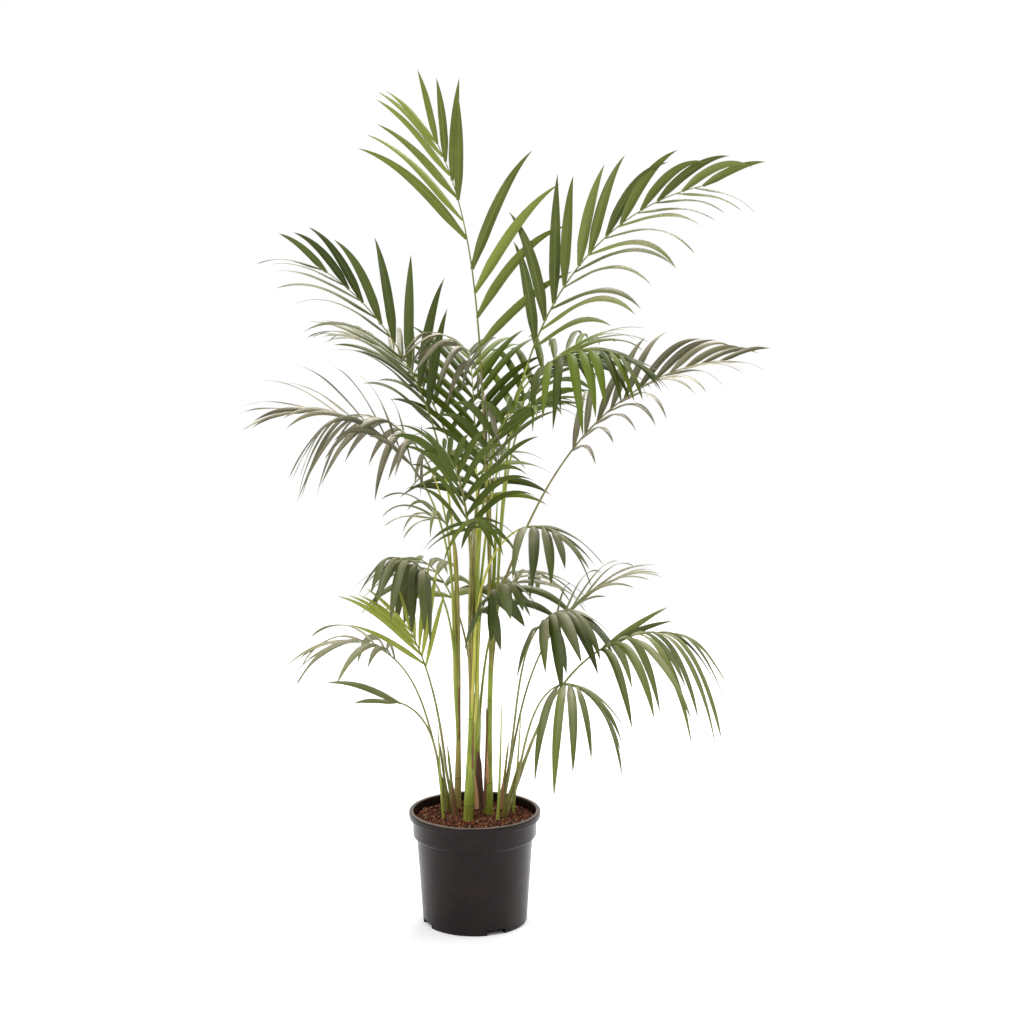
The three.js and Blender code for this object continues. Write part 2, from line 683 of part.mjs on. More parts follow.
// A leaflet's sections from root to tip, curving down under its own weight.
function leafletCourse(leaflet, nudge) {
  const { pose, hand, reach } = leaflet;
  const beta = radians(leaflet.beta);
  const lift = radians(leaflet.lift + nudge);
  const outward = pose.side.clone().multiplyScalar(hand * Math.cos(lift))
    .addScaledVector(pose.face, Math.sin(lift));
  const way = pose.along.clone().multiplyScalar(Math.cos(beta))
    .addScaledVector(outward, Math.sin(beta))
    .normalize();
  const face = pose.face.clone().addScaledVector(way, -pose.face.dot(way)).normalize();
  face.applyAxisAngle(way, radians(leaflet.twist));
  const course = [{ point: leaflet.root.clone(), face: face.clone(), way: way.clone() }];
  for (let j = 0; j < LEAF_STEPS; j += 1) {
    const u = (j + 0.5) / LEAF_STEPS;
    const fold = NEAR_SAG * u * (1 - u) ** NEAR_POWER;
    const pull = mix(EVEN_SAG * u, fold, leaflet.hinge) / LEAF_STEPS;
    const next = way.clone().addScaledVector(UP, -leaflet.sag * pull).normalize();
    const turn = new THREE.Vector3().crossVectors(way, next);
    const size = turn.length();
    if (size > STILL) {
      face.applyAxisAngle(turn.normalize(), Math.asin(Math.min(1, size)));
    }
    way.copy(next);
    const point = course[j].point.clone().addScaledVector(way, reach / LEAF_STEPS);
    course.push({ point, face: face.clone(), way: way.clone() });
  }
  return course;
}

// Half width of a leaflet at share u of its length, as a share of its greatest.
function bladeShare(u) {
  const past = Math.max(0, (u - NARROW_FROM) / (1 - NARROW_FROM));
  return Math.min(1, ROOT_WIDTH + u * WIDEN) * (1 - past ** NARROW_POWER);
}

// A three-sided blade: two edges and a keel, narrow at its root and drawn to a point.
function leafletBody(leaflet, nudge, grow) {
  const course = leafletCourse(leaflet, nudge);
  const depth = Math.max(LEAF_MIN_DEPTH, leaflet.reach / LEAF_THIN) + grow;
  const root = leaflet.ribR * ROOT_SHARE + grow;
  const bowed = leaflet.hinge > HINGED ? HINGED_SECTIONS : LEAF_SECTIONS;
  const sections = leaflet.sag < STRAIGHT_SAG ? STRAIGHT_SECTIONS : bowed;
  const rings = sections.map((j) => {
    const { point, face, way } = course[j];
    const half = j === 0 ? root : (leaflet.width / 2) * bladeShare(j / LEAF_STEPS) + grow;
    const across = new THREE.Vector3().crossVectors(way, face);
    const keel = j === 0 ? root : depth;
    return [
      point.clone().addScaledVector(across, half).addScaledVector(face, grow),
      point.clone().addScaledVector(face, -keel),
      point.clone().addScaledVector(across, -half).addScaledVector(face, grow),
    ];
  });
  const end = course[LEAF_STEPS];
  return skin(rings, end.point.clone().addScaledVector(end.way, grow));
}

// Solids already standing, with their boxes, to keep new leaflets clear of.
class Thicket {
  constructor() {
    this.standing = [];
  }

  add(owner, body) {
    this.standing.push({ owner, body, box: body.boundingBox() });
  }

  touches(owner, body) {
    const box = body.boundingBox();
    return this.standing.some((other) => other.owner !== owner
      && [0, 1, 2].every((i) => box.min[i] <= other.box.max[i] && box.max[i] >= other.box.min[i])
      && body.intersect(other.body).getMesh().triVerts.length > 0);
  }
}

// Fuses a frond: its rib, and each leaflet that can stand clear of its neighbours.
function frondBody(name, rib, leaflets, thicket) {
  let body = rib;
  for (const leaflet of leaflets) {
    for (const nudge of NUDGES) {
      const blades = [GAP, 0].map((grow) => leafletBody(leaflet, nudge, grow));
      if (!thicket.touches(name, blades[0])) {
        thicket.add(name, blades[1]);
        body = body.add(blades[1]);
        break;
      }
    }
  }
  return body;
}

function plant() {
  const group = new THREE.Group();
  group.name = "potted_areca_palm";
  const thicket = new Thicket();
  const feet = [];

  const stand = (name, stem, finish, sides) => {
    const body = stemBody(stem, 0, sides);
    thicket.add(name, body);
    feet.push(stemBody(stem, GAP, sides));
    group.add(mesh(name, body, finish));
  };
  for (const [name, stem] of Object.entries(STEMS)) {
    stand(name, stem, stem.finish, STEM_SIDES);
  }
  for (const [name, spike] of Object.entries(SPIKES)) {
    stand(name, spike, "bright", SPIKE_SIDES);
  }
  stand("dead_sheath", STUB, "husk", STUB_SIDES);

  const vessel = pot();
  thicket.add("pot", vessel);
  group.add(mesh("pot", vessel, "pot"));
  group.add(mesh("soil", soil(feet), "soil"));

  const fronds = Object.entries(FRONDS).map(([name, own]) => {
    const frond = { ...FROND, ...own };
    const course = ribCourse(frond);
    const split = frond.lean[1] > SPLIT_LEAN;
    const rib = ribBody(split ? course.slice(PETIOLE_STEPS) : course);
    thicket.add(name, rib);
    if (split) {
      const stalk = stalkBody(course);
      thicket.add(`stalk_${name}`, stalk);
      group.add(mesh(`stalk_${name}`, stalk, "cane"));
    }
    return { name, frond, course, rib };
  });
  for (const { name, frond, course, rib } of fronds) {
    const body = frondBody(name, rib, leafletPlan(frond, course), thicket);
    group.add(mesh(`frond_${name}`, body, frond.tone));
  }
  return group;
}

export default plant();
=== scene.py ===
"""A potted areca palm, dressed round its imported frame.

A clump of ring-marked canes and young shoots stands in a black nursery pot, and each cane
carries arching feather fronds. Sizes are real millimetres in the classes below, in the part's
own frame: +Z up, the pot's underside centre at the origin, the front towards -Y. Plan
directions are degrees: 0 right, 90 away, 180 left, 270 towards the front.
"""
import logging
import math
from collections.abc import Callable, Iterator, Sequence
from dataclasses import dataclass
from enum import Enum
from functools import cached_property
from itertools import combinations

import bmesh
import bpy
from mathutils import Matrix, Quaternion, Vector, noise


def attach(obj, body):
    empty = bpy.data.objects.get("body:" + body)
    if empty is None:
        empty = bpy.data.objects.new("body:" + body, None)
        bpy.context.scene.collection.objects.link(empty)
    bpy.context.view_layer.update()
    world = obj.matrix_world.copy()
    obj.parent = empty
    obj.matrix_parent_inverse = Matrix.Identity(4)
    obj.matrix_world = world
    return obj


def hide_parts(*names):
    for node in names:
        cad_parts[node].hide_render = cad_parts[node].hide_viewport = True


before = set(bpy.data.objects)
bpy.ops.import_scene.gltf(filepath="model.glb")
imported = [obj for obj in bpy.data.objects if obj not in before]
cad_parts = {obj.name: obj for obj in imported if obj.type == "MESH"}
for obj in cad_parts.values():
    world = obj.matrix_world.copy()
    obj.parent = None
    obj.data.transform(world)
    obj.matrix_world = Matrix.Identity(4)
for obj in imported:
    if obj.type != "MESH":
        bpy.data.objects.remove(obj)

Tree = bpy.types.NodeTree
Node = bpy.types.Node
Socket = bpy.types.NodeSocket
Piece = bpy.types.Object
Span = tuple[float, float]
Triple = tuple[float, float, float]
Patterns = tuple[Socket | None, Socket]

LOG = logging.getLogger("areca_palm")
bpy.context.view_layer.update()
BODY = "root"
BLADE_MAP = "blade"
MM = 0.001
UP = Vector((0, 0, 1))
SRGB_KNEE, SRGB_SLOPE, SRGB_SHIFT, SRGB_POWER = 0.04045, 12.92, 0.055, 2.4


def mix(a: float, b: float, t: float) -> float:
    """Return the value at share t of the way from a to b."""
    return a + (b - a) * t


def smooth(t: float) -> float:
    """Return t from 0 to 1 eased at both ends."""
    t = max(0.0, min(1.0, t))
    return t * t * (3 - 2 * t)


def plan(degrees: float) -> Vector:
    """Return the level direction at a plan angle."""
    return Vector((math.cos(math.radians(degrees)), math.sin(math.radians(degrees)), 0))


def leaning(out: Vector, degrees: float) -> Vector:
    """Return the direction that leans from upright towards out."""
    return out * math.sin(math.radians(degrees)) + UP * math.cos(math.radians(degrees))


def linear(colour: str) -> tuple[float, float, float, float]:
    """Turn an sRGB hex colour into the linear values that Blender's sockets take.

    Args:
        colour: six hex digits after a hash.

    Returns:
        Red, green, blue and an alpha of 1.
    """
    parts = [int(colour[i:i + 2], 16) / 255 for i in (1, 3, 5)]
    return (*(
        p / SRGB_SLOPE if p <= SRGB_KNEE else ((p + SRGB_SHIFT) / (1 + SRGB_SHIFT)) ** SRGB_POWER
        for p in parts
    ), 1.0)


class Draws:
    """An even spread of numbers from 0 to 1, the same each time for one seed."""

    SPAN = 2 ** 32
    SPREAD = 2654435761
    STEP = 1664525
    SHIFT = 1013904223

    def __init__(self, seed: int) -> None:
        """Start the run that belongs to seed."""
        self.state = seed * self.SPREAD % self.SPAN

    def __call__(self) -> float:
        """Return the next number."""
        self.state = (self.state * self.STEP + self.SHIFT) % self.SPAN
        return self.state / self.SPAN

    def between(self, low: float, high: float) -> float:
        """Return the next number, spread from low to high."""
        return mix(low, high, self())

    def about(self, width: float) -> float:
        """Return the next number, spread over width about 0."""
        return (self() - 0.5) * width


def add_node(
    tree: Tree,
    kind: str,
    settings: dict[str, object] | None = None,
    sockets: dict[str | int, object] | None = None,
) -> Node:
    """Add one node with its settings and links.

    Args:
        tree: the node tree that takes it.
        kind: Blender's name for the kind of node.
        settings: its properties by name.
        sockets: its inputs by name or number, each a value or the output that feeds it.

    Returns:
        The new node.
    """
    node = tree.nodes.new(kind)
    for name, value in (settings or {}).items():
        setattr(node, name, value)
    for key, value in (sockets or {}).items():
        if isinstance(value, Socket):
            tree.links.new(value, node.inputs[key])
        else:
            node.inputs[key].default_value = value
    return node


def own_place(tree: Tree, upright: float = 1.0) -> Socket:
    """Return the surface's own place in millimetres, with the share upright of its height."""
    spot = add_node(tree, "ShaderNodeTexCoord").outputs["Object"]
    return add_node(tree, "ShaderNodeMapping", sockets={
        "Vector": spot, "Scale": (1 / MM, 1 / MM, upright / MM),
    }).outputs["Vector"]


@dataclass(frozen=True)
class Grain:
    """A broken pattern: its real size, how fine it goes, and how far it is drawn out upright."""

    mm: float
    detail: float = 3.0
    rough: float = 0.5
    upright: float = 1.0

    def spread(self, tree: Tree) -> Socket:
        """Spread the pattern over the surface and return its value, from 0 to 1."""
        return add_node(tree, "ShaderNodeTexNoise", sockets={
            "Vector": own_place(tree, self.upright), "Scale": 1 / self.mm,
            "Detail": self.detail, "Roughness": self.rough,
        }).outputs["Fac"]


@dataclass(frozen=True)
class Ramp:
    """A share that goes from first to last while a value goes over its band."""

    value: Socket
    band: Span
    first: float = 0.0
    last: float = 1.0


class Joined(Enum):
    """How two shares become one, by the name of the sum that joins them."""

    LARGER = "MAXIMUM"
    PRODUCT = "MULTIPLY"


def tinge(
    tree: Tree, below: Socket | str, above: str, *ramps: Ramp, joined: Joined = Joined.LARGER
) -> Socket:
    """Lay one colour over another as far as the ramps say.

    Args:
        tree: the material's nodes.
        below: the colour below, in hex or from a node.
        above: the colour over it, in hex.
        ramps: the shares of it that show.
        joined: how more than one share become one.

    Returns:
        The colour that comes of both.
    """
    amount = None
    for ramp in ramps:
        share = add_node(tree, "ShaderNodeMapRange", sockets={
            "Value": ramp.value, "From Min": ramp.band[0], "From Max": ramp.band[1],
            "To Min": ramp.first, "To Max": ramp.last,
        }).outputs["Result"]
        amount = share if amount is None else add_node(
            tree, "ShaderNodeMath", {"operation": joined.value}, {0: amount, 1: share}
        ).outputs[0]
    return add_node(tree, "ShaderNodeMix", {"data_type": "RGBA"}, {
        "Factor": amount, 6: linear(below) if isinstance(below, str) else below,
        7: linear(above),
    }).outputs[2]


@dataclass(frozen=True)
class Finish:
    """What a surface is made of and how it came to look as it does.

    relief is how strongly its pattern stands out and by how many millimetres. Dust and a
    painted sheen of the light from above lie on it where its facing upwards is in level_band,
    broken up as a pattern goes over broken_band.
    """

    name: str
    colour: str
    roughness: float
    ior: float = 1.5
    relief: Span = (0.3, 0.3)
    level_band: Span = (0.5, 0.97)
    broken_band: Span = (0.3, 0.62)
    broken_least: float = 0.55

    def material(self) -> bpy.types.Material:
        """Give the Blender material, made on first use.

        Returns:
            The material, dressed.
        """
        made = bpy.data.materials.get(self.name)
        if made:
            return made
        made = bpy.data.materials.new(self.name)
        made.use_nodes = True
        made.diffuse_color = linear(self.colour)
        tree = made.node_tree
        shader = tree.nodes["Principled BSDF"]
        shader.inputs["Base Color"].default_value = linear(self.colour)
        shader.inputs["Roughness"].default_value = self.roughness
        shader.inputs["IOR"].default_value = self.ior
        skin, height = self.dress(tree, shader)
        if skin is not None:
            tree.links.new(skin, shader.inputs["Base Color"])
        raised = add_node(tree, "ShaderNodeBump", sockets={
            "Height": height, "Strength": self.relief[0], "Distance": self.relief[1] * MM,
        })
        tree.links.new(raised.outputs["Normal"], shader.inputs["Normal"])
        return made

    def dress(self, tree: Tree, shader: Node) -> Patterns:
        """Make this finish's patterns, each finish in its own way.

        Args:
            tree: the material's nodes.
            shader: its main shader.

        Returns:
            The colour, or None where it is even, and the pattern that stands out.
        """
        raise NotImplementedError

    def lay_dust_and_sheen(self, tree: Tree, clean: Socket, patch: Socket, dust: str, most: float) -> Socket:
        """Paint dust and a painted sheen of the light from above where the surface faces up.

        Args:
            tree: the material's nodes.
            clean: the colour below the dust and sheen.
            patch: the slow pattern that breaks them up.
            dust: the colour of the dust and painted sheen, in hex.
            most: how much of it lies on a level place.

        Returns:
            The colour with the dust and painted sheen on it.
        """
        facing = add_node(tree, "ShaderNodeNewGeometry").outputs["Normal"]
        up = add_node(tree, "ShaderNodeSeparateXYZ", sockets={0: facing}).outputs["Z"]
        return tinge(
            tree, clean, dust, Ramp(up, self.level_band, last=most),
            Ramp(patch, self.broken_band, self.broken_least), joined=Joined.PRODUCT,
        )


@dataclass(frozen=True)
class MouldedPolypropylene(Finish):
    """Black polypropylene, injection moulded against a lightly sparked steel tool.

    The grain breaks the shine into soft vertical glows, handling leaves a faint cloud, and a
    pale colour lies along the rim and the collar's ledge: dust, and a painted highlight there.
    """

    relief: Span = (0.16, 0.2)
    grain: Grain = Grain(1.1)
    cloud: Grain = Grain(55.0, 5, 0.6)
    cloud_band: Span = (0.42, 0.78)
    clouded: float = 0.42
    matt_band: Span = (0.3, 0.8)
    matt: Span = (-0.05, 0.12)
    dust: str = "#2b201c"
    # The ledge's pale colour: partly dust, partly a painted highlight of the light from above.
    ledge_dust_and_highlight: str = "#8f8172"
    ledge_dust_and_highlight_share: float = 0.5

    def dress(self, tree: Tree, shader: Node) -> Patterns:
        """Cloud the black with dust, paint dust and highlight on ledges, roughen with the tool's
        grain.
        """
        cloud = self.cloud.spread(tree)
        skin = tinge(tree, self.colour, self.dust, Ramp(cloud, self.cloud_band, last=self.clouded))
        matt = add_node(tree, "ShaderNodeMapRange", sockets={
            "Value": cloud, "From Min": self.matt_band[0], "From Max": self.matt_band[1],
            "To Min": self.roughness + self.matt[0], "To Max": self.roughness + self.matt[1],
        })
        tree.links.new(matt.outputs["Result"], shader.inputs["Roughness"])
        dust_and_sheen = self.lay_dust_and_sheen(tree, skin, cloud, self.ledge_dust_and_highlight, self.ledge_dust_and_highlight_share)
        return dust_and_sheen, self.grain.spread(tree)


@dataclass(frozen=True)
class PeatAndCoir(Finish):
    """Peat and coir, crumbled and damp: a matt red-brown with darker wet hollows."""

    relief: Span = (0.7, 0.8)
    wet: str = "#3a2018"
    clump: Grain = Grain(9.0, 6, 0.7)
    clump_band: Span = (0.35, 0.62)
    crumb: Grain = Grain(1.4, 4)

    def dress(self, tree: Tree, shader: Node) -> Patterns:
        """Darken the wet clumps and roughen the crumbs."""
        clump = self.clump.spread(tree)
        skin = tinge(tree, self.wet, self.colour, Ramp(clump, self.clump_band))
        return skin, self.crumb.spread(tree)


@dataclass(frozen=True)
class WaxySkin(Finish):
    """The waxy skin of a living cane or stalk: fine upright streaks and small corky specks.

    Old sheaths leave olive-brown blotches along it and stain its foot brown, and the crown
    shaft at its top is the young bright green.
    """

    streak: str = "#a8b055"
    speck: str = "#8a5a2c"
    specks: float = 0.3
    stain: str = "#5f4420"
    blotched: float = 0.0
    stained: float = 0.0
    young: str = "#93a632"
    younger: float = 0.0
    streaks: Grain = Grain(2.2, 4, 0.55, 0.05)
    streak_band: Span = (0.38, 0.68)
    spots: Grain = Grain(3.0, upright=0.45)
    spot_band: Span = (0.62, 0.7)
    blotches: Grain = Grain(9.0, 4, upright=0.16)
    blotch_band: Span = (0.5, 0.66)
    stain_z: Span = (186.0, 245.0)
    young_z: Span = (390.0, 600.0)

    def dress(self, tree: Tree, shader: Node) -> Patterns:
        """Streak the skin along its growth, stain it brown and dot it with cork."""
        streak = self.streaks.spread(tree)
        place = add_node(tree, "ShaderNodeSeparateXYZ", sockets={0: own_place(tree)})
        height = place.outputs["Z"]
        skin = tinge(tree, self.colour, self.streak, Ramp(streak, self.streak_band))
        skin = tinge(tree, skin, self.young, Ramp(height, self.young_z, last=self.younger))
        skin = tinge(
            tree, skin, self.stain, Ramp(height, self.stain_z, self.stained, 0.0),
            Ramp(self.blotches.spread(tree), self.blotch_band, last=self.blotched),
        )
        spots = Ramp(self.spots.spread(tree), self.spot_band, last=self.specks)
        return tinge(tree, skin, self.speck, spots), streak


@dataclass(frozen=True)
class DrySheathFibre(Finish):
    """A dead leaf sheath dried on the plant: dull brown fibre with pale split edges."""

    relief: Span = (0.6, 0.5)
    pale: str = "#8a6a45"
    paler: float = 0.75
    fibre: Grain = Grain(1.6, 5, upright=0.06)
    fibre_band: Span = (0.42, 0.75)

    def dress(self, tree: Tree, shader: Node) -> Patterns:
        """Run pale and dark fibres up the sheath, and raise them."""
        fibre = self.fibre.spread(tree)
        ramp = Ramp(fibre, self.fibre_band, last=self.paler)
        return tinge(tree, self.colour, self.pale, ramp), fibre


@dataclass(frozen=True)
class LeafSkin(Finish):
    """A leaflet's skin: a thin wax over green, ribbed by veins that run from root to tip.

    Real veins lie about 1 mm apart. Six ridges to a blade are drawn, which is as fine as shows.
    """

    relief: Span = (0.25, 0.12)
    vein: str = "#7c8742"
    # A pale colour where the blade faces up: partly dust, partly a painted sheen of the top light.
    dust: str = "#b7ad93"
    dust_and_sheen: float = 0.0
    ridges: float = 6.0
    glow: float = 0.22
    middle: float = 0.5
    midrib_band: Span = (0.02, 0.075)
    midrib_pale: float = 0.5
    patch: Grain = Grain(38.0)
    patch_band: Span = (0.3, 0.7)
    patched: float = 0.22

    def dress(self, tree: Tree, shader: Node) -> Patterns:
        """Lighten the midrib and veins, vary the green, paint dust and sheen, let light through."""
        blade = add_node(tree, "ShaderNodeUVMap", {"uv_map": BLADE_MAP}).outputs["UV"]
        across = add_node(tree, "ShaderNodeSeparateXYZ", sockets={0: blade}).outputs["X"]
        off = add_node(tree, "ShaderNodeMath", {"operation": "SUBTRACT"}, {
            0: across, 1: self.middle,
        })
        apart = add_node(tree, "ShaderNodeMath", {"operation": "ABSOLUTE"}, {0: off.outputs[0]})
        wave = add_node(tree, "ShaderNodeMath", {"operation": "MULTIPLY"}, {
            0: across, 1: self.ridges * math.tau,
        })
        ridge = add_node(tree, "ShaderNodeMath", {"operation": "SINE"}, {0: wave.outputs[0]})
        patch = self.patch.spread(tree)
        rib = Ramp(apart.outputs[0], self.midrib_band, self.midrib_pale, 0.0)
        pale = Ramp(patch, self.patch_band, last=self.patched)
        green = tinge(tree, self.colour, self.vein, rib, pale)
        lit = add_node(tree, "ShaderNodeBsdfTranslucent", sockets={"Color": green})
        both = add_node(tree, "ShaderNodeMixShader", sockets={
            0: self.glow, 1: shader.outputs["BSDF"], 2: lit.outputs["BSDF"],
        })
        out = tree.nodes["Material Output"]
        tree.links.new(both.outputs["Shader"], out.inputs["Surface"])
        return self.lay_dust_and_sheen(tree, green, patch, self.dust, self.dust_and_sheen), ridge.outputs[0]


@dataclass(frozen=True)
class MattPaper(Finish):
    """The studio's seamless paper: matt, without a pattern that would draw the eye."""

    relief: Span = (0.02, 0.1)
    fibre: Grain = Grain(4.0, 2)

    def dress(self, tree: Tree, shader: Node) -> Patterns:
        """Give the paper the least tooth."""
        return None, self.fibre.spread(tree)


POT_BLACK = MouldedPolypropylene("moulded_polypropylene", "#140a0a", 0.27, 1.28)
MIX_BED = PeatAndCoir("peat_bed", "#54291c", 0.95, 1.3, wet="#200e09")
CRUMBS = (
    PeatAndCoir("peat_crumb_red", "#783f2a", 0.93, 1.3, wet="#482418"),
    PeatAndCoir("peat_crumb_dark", "#2b1710", 0.93, 1.3, wet="#160b07"),
    PeatAndCoir("coir_crumb_tan", "#a06c45", 0.93, 1.3, wet="#5e3c24"),
)
PALE_GRIT = PeatAndCoir("pale_grit", "#c8b49a", 0.85, wet="#a58e72")
COIR_STRAND = PeatAndCoir("coir_strand", "#7d5232", 0.9, wet="#4f321e")
CANE_GREEN = WaxySkin(
    "green_cane_skin", "#687a22", 0.42, 1.36, streak="#9ea63e", specks=0.3, blotched=0.45,
    stained=0.25, younger=0.75,
)
SHOOT_GREEN = WaxySkin(
    "shoot_sheath_skin", "#66712a", 0.45, 1.36, streak="#858744", specks=0.25, blotched=0.5,
    stained=0.65,
)
CANE_TAN = WaxySkin(
    "aged_cane_skin", "#74622c", 0.5, 1.36, streak="#98803f", speck="#a8662c", specks=0.85,
    blotched=0.4, stained=0.6,
)
RING_SCAR = WaxySkin("ring_scar_cork", "#5a5a22", 0.6, 1.36, streak="#74702c", specks=0.4)
STALK_SKINS = (
    WaxySkin("stalk_skin_green", "#76822e", 0.42, 1.36, streak="#a0a54a", specks=0.12),
    WaxySkin("stalk_skin_yellow", "#9c9c3a", 0.42, 1.36, streak="#bdb75c", specks=0.15),
    WaxySkin(
        "stalk_skin_aged", "#757038", 0.45, 1.36, streak="#979052", specks=0.35, blotched=0.45,
    ),
)
STALK_OLIVE = WaxySkin(
    "outer_stalk_skin", "#727440", 0.45, 1.36, streak="#92905c", specks=0.15, blotched=0.3,
)
STALK_TIP = WaxySkin("rachis_skin", "#656a2c", 0.42, 1.36, streak="#84844a", specks=0.05)
DEAD_HUSK = DrySheathFibre("dead_husk", "#45281a", 0.85, pale="#7a5436")
TAN_FLAP = DrySheathFibre("tan_husk_flap", "#a97c54", 0.8, pale="#caa27a")
BROWN_STRIP = DrySheathFibre("brown_sheath_strip", "#5f3c22", 0.8, pale="#a0764a")
DRY_TIP = DrySheathFibre("dry_leaf_tip", "#7c6a44", 0.7, pale="#9a8556")
PAPER = MattPaper("studio_paper", "#ffffff", 0.9)


UPPER_ROUGHNESS = 0.4
UNDER_ROUGHNESS, UNDER_IOR = 0.55, 1.35


class LeafTone(Enum):
    """The greens of the leaflets, by the record's slot.

    PALE is a lighter, greyer MID and HAZY a greyer DEEP. The fronds in the crown's middle and at
    its back wear a darker MID, with the shade inside the crown painted into its colour. Each has
    its upper shades, the underside, the veins, the wax's index, and the dust and painted sheen
    on its level places.
    """

    BRIGHT = ("leaf_bright", ("#6e7832", "#858f40", "#596329"), "#7e8748", "#949f50", 1.3, 0.1)
    MID = ("leaf_mid", ("#636e30", "#788142", "#4e5927"), "#66703a", "#868f4a", 1.3, 0.48)
    PALE = ("leaf_mid", ("#676e3c", "#7c8150", "#535b2e"), "#6c7244", "#8a8e5a", 1.35, 0.62)
    # The crown's shade, painted: MID darkened for the fronds inside the crown and at its back.
    SHADED = ("leaf_mid", ("#445210", "#5c6c1a", "#313d0b"), "#4c5a14", "#66741f", 1.22, 0.1)
    DEEP = ("leaf_deep", ("#475222", "#55602d", "#38421a"), "#4f5a2c", "#636e38", 1.3, 0.62)
    HAZY = ("leaf_deep", ("#555c33", "#686c45", "#434927"), "#5f6438", "#7a7e4c", 1.35, 0.66)
    DUSTY = ("leaf_dusty", ("#656446", "#7a7658", "#505034"), "#78735c", "#958d72", 1.4, 0.85)
    FRESH = ("leaf_fresh", ("#9fa845", "#adb450", "#8e983b"), "#b0b562", "#c6c86e", 1.3, 0.0)

    def __init__(
        self, slot: str, upper: tuple[str, ...], under: str, vein: str, ior: float, dust_and_sheen: float,
    ) -> None:
        """Name the slot and work out the finishes of both sides.

        Args:
            slot: the record's material slot.
            upper: the shades of the upper side, in hex.
            under: the underside's colour, in hex.
            vein: the veins' colour, in hex.
            ior: the index of the wax.
            dust_and_sheen: how much dust and painted sheen lie on a level place.
        """
        kind = f"leaf_{self.name.lower()}"
        self.slot = slot
        self.upper = tuple(
            LeafSkin(
                f"{kind}_upper_{i}", colour, UPPER_ROUGHNESS, ior, vein=vein, dust_and_sheen=dust_and_sheen
            )
            for i, colour in enumerate(upper)
        )
        self.under = LeafSkin(f"{kind}_under", under, UNDER_ROUGHNESS, UNDER_IOR, vein=vein)


class Draft:
    """The points and faces of one piece, gathered in millimetres before its mesh is made."""

    def __init__(self, *finishes: Finish) -> None:
        """Start empty, with the finishes that faces name by number."""
        self.finishes = finishes
        self.points: list[Vector] = []
        self.faces: list[tuple[int, ...]] = []
        self.worn: list[int] = []
        self.marks: list[tuple[Span, ...]] = []

    def face(self, corners: Sequence[int], worn: int, marks: Sequence[Span]) -> None:
        """Add one face.

        Args:
            corners: the numbers of its points.
            worn: the number of its finish.
            marks: its corners' places on the surface's own map.
        """
        self.faces.append(tuple(corners))
        self.worn.append(worn)
        self.marks.append(tuple(marks))

    def loft(
        self,
        rings: Sequence[Sequence[Vector]],
        worn: Callable[[int, int], int] = lambda i, k: 0,
        tip: Vector | None = None,
        across: Sequence[float] | None = None,
    ) -> None:
        """Add a closed body through rings of points, capped or drawn to a point.

        Args:
            rings: the sections, each with the same number of points.
            worn: the finish of the face past ring i and point k.
            tip: the point that ends it, if it has one.
            across: where each point lies across the map, with one more for the seam.
        """
        first, sides, end = len(self.points), len(rings[0]), len(rings) - 1
        across = across or [k / sides for k in range(sides + 1)]
        along = [i / len(rings) for i in range(len(rings) + 1)]
        for ring in rings:
            self.points.extend(ring)
        for i in range(end):
            for k in range(sides):
                a, b = first + i * sides + k, first + i * sides + (k + 1) % sides
                spots = [(across[k], along[i]), (across[k + 1], along[i]),
                         (across[k + 1], along[i + 1]), (across[k], along[i + 1])]
                self.face((a, b, b + sides, a + sides), worn(i, k), spots)
        start = [first + k for k in reversed(range(sides))]
        self.face(start, worn(0, 0), [(0.5, along[0])] * sides)
        last = first + end * sides
        if tip is None:
            self.face([last + k for k in range(sides)], worn(end, 0), [(0.5, along[end])] * sides)
            return
        self.points.append(tip)
        for k in range(sides):
            spots = [(across[k], along[end]), (across[k + 1], along[end]), (0.5, along[end + 1])]
            corners = (last + k, last + (k + 1) % sides, len(self.points) - 1)
            self.face(corners, worn(end, k), spots)

    def piece(
        self, name: str, slot: str, replaced: Sequence[str] = (), crease: float = 40.0
    ) -> Piece:
        """Make the mesh, dress it, let it ride on the plant's body and report it.

        Args:
            name: the piece's name.
            slot: the record's material slot, named only in the log line.
            replaced: the solids that it stands for.
            crease: the angle in degrees past which an edge stays sharp.

        Returns:
            The piece.
        """
        mesh = bpy.data.meshes.new(name)
        mesh.from_pydata([p * MM for p in self.points], [], self.faces)
        for finish in self.finishes:
            mesh.materials.append(finish.material())
        mesh.polygons.foreach_set("material_index", self.worn)
        layer = mesh.uv_layers.new(name=BLADE_MAP)
        layer.data.foreach_set("uv", [v for spots in self.marks for spot in spots for v in spot])
        shape = bmesh.new()
        shape.from_mesh(mesh)
        bmesh.ops.recalc_face_normals(shape, faces=shape.faces)
        shape.to_mesh(mesh)
        shape.free()
        mesh.polygons.foreach_set("use_smooth", [True] * len(mesh.polygons))
        mesh.set_sharp_from_angle(angle=math.radians(crease))
        made = show(name, mesh)
        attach(made, BODY)
        if replaced:
            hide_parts(*replaced)
        LOG.info("%s: %d faces, slot %s, for %s", name, len(mesh.polygons), slot,
                 ", ".join(replaced) or "no solid")
        return made


def show(name: str, data: bpy.types.ID) -> Piece:
    """Put a mesh, lamp or camera into the scene and return its object."""
    made = bpy.data.objects.new(name, data)
    bpy.context.scene.collection.objects.link(made)
    return made


def ring_round(centre: Vector, one: Vector, two: Vector, radii: Sequence[float]) -> list[Vector]:
    """Return points round a centre, one for each radius, turning from one towards two."""
    turns = [math.tau * k / len(radii) for k in range(len(radii))]
    return [
        centre + one * (r * math.cos(turn)) + two * (r * math.sin(turn))
        for r, turn in zip(radii, turns)
    ]


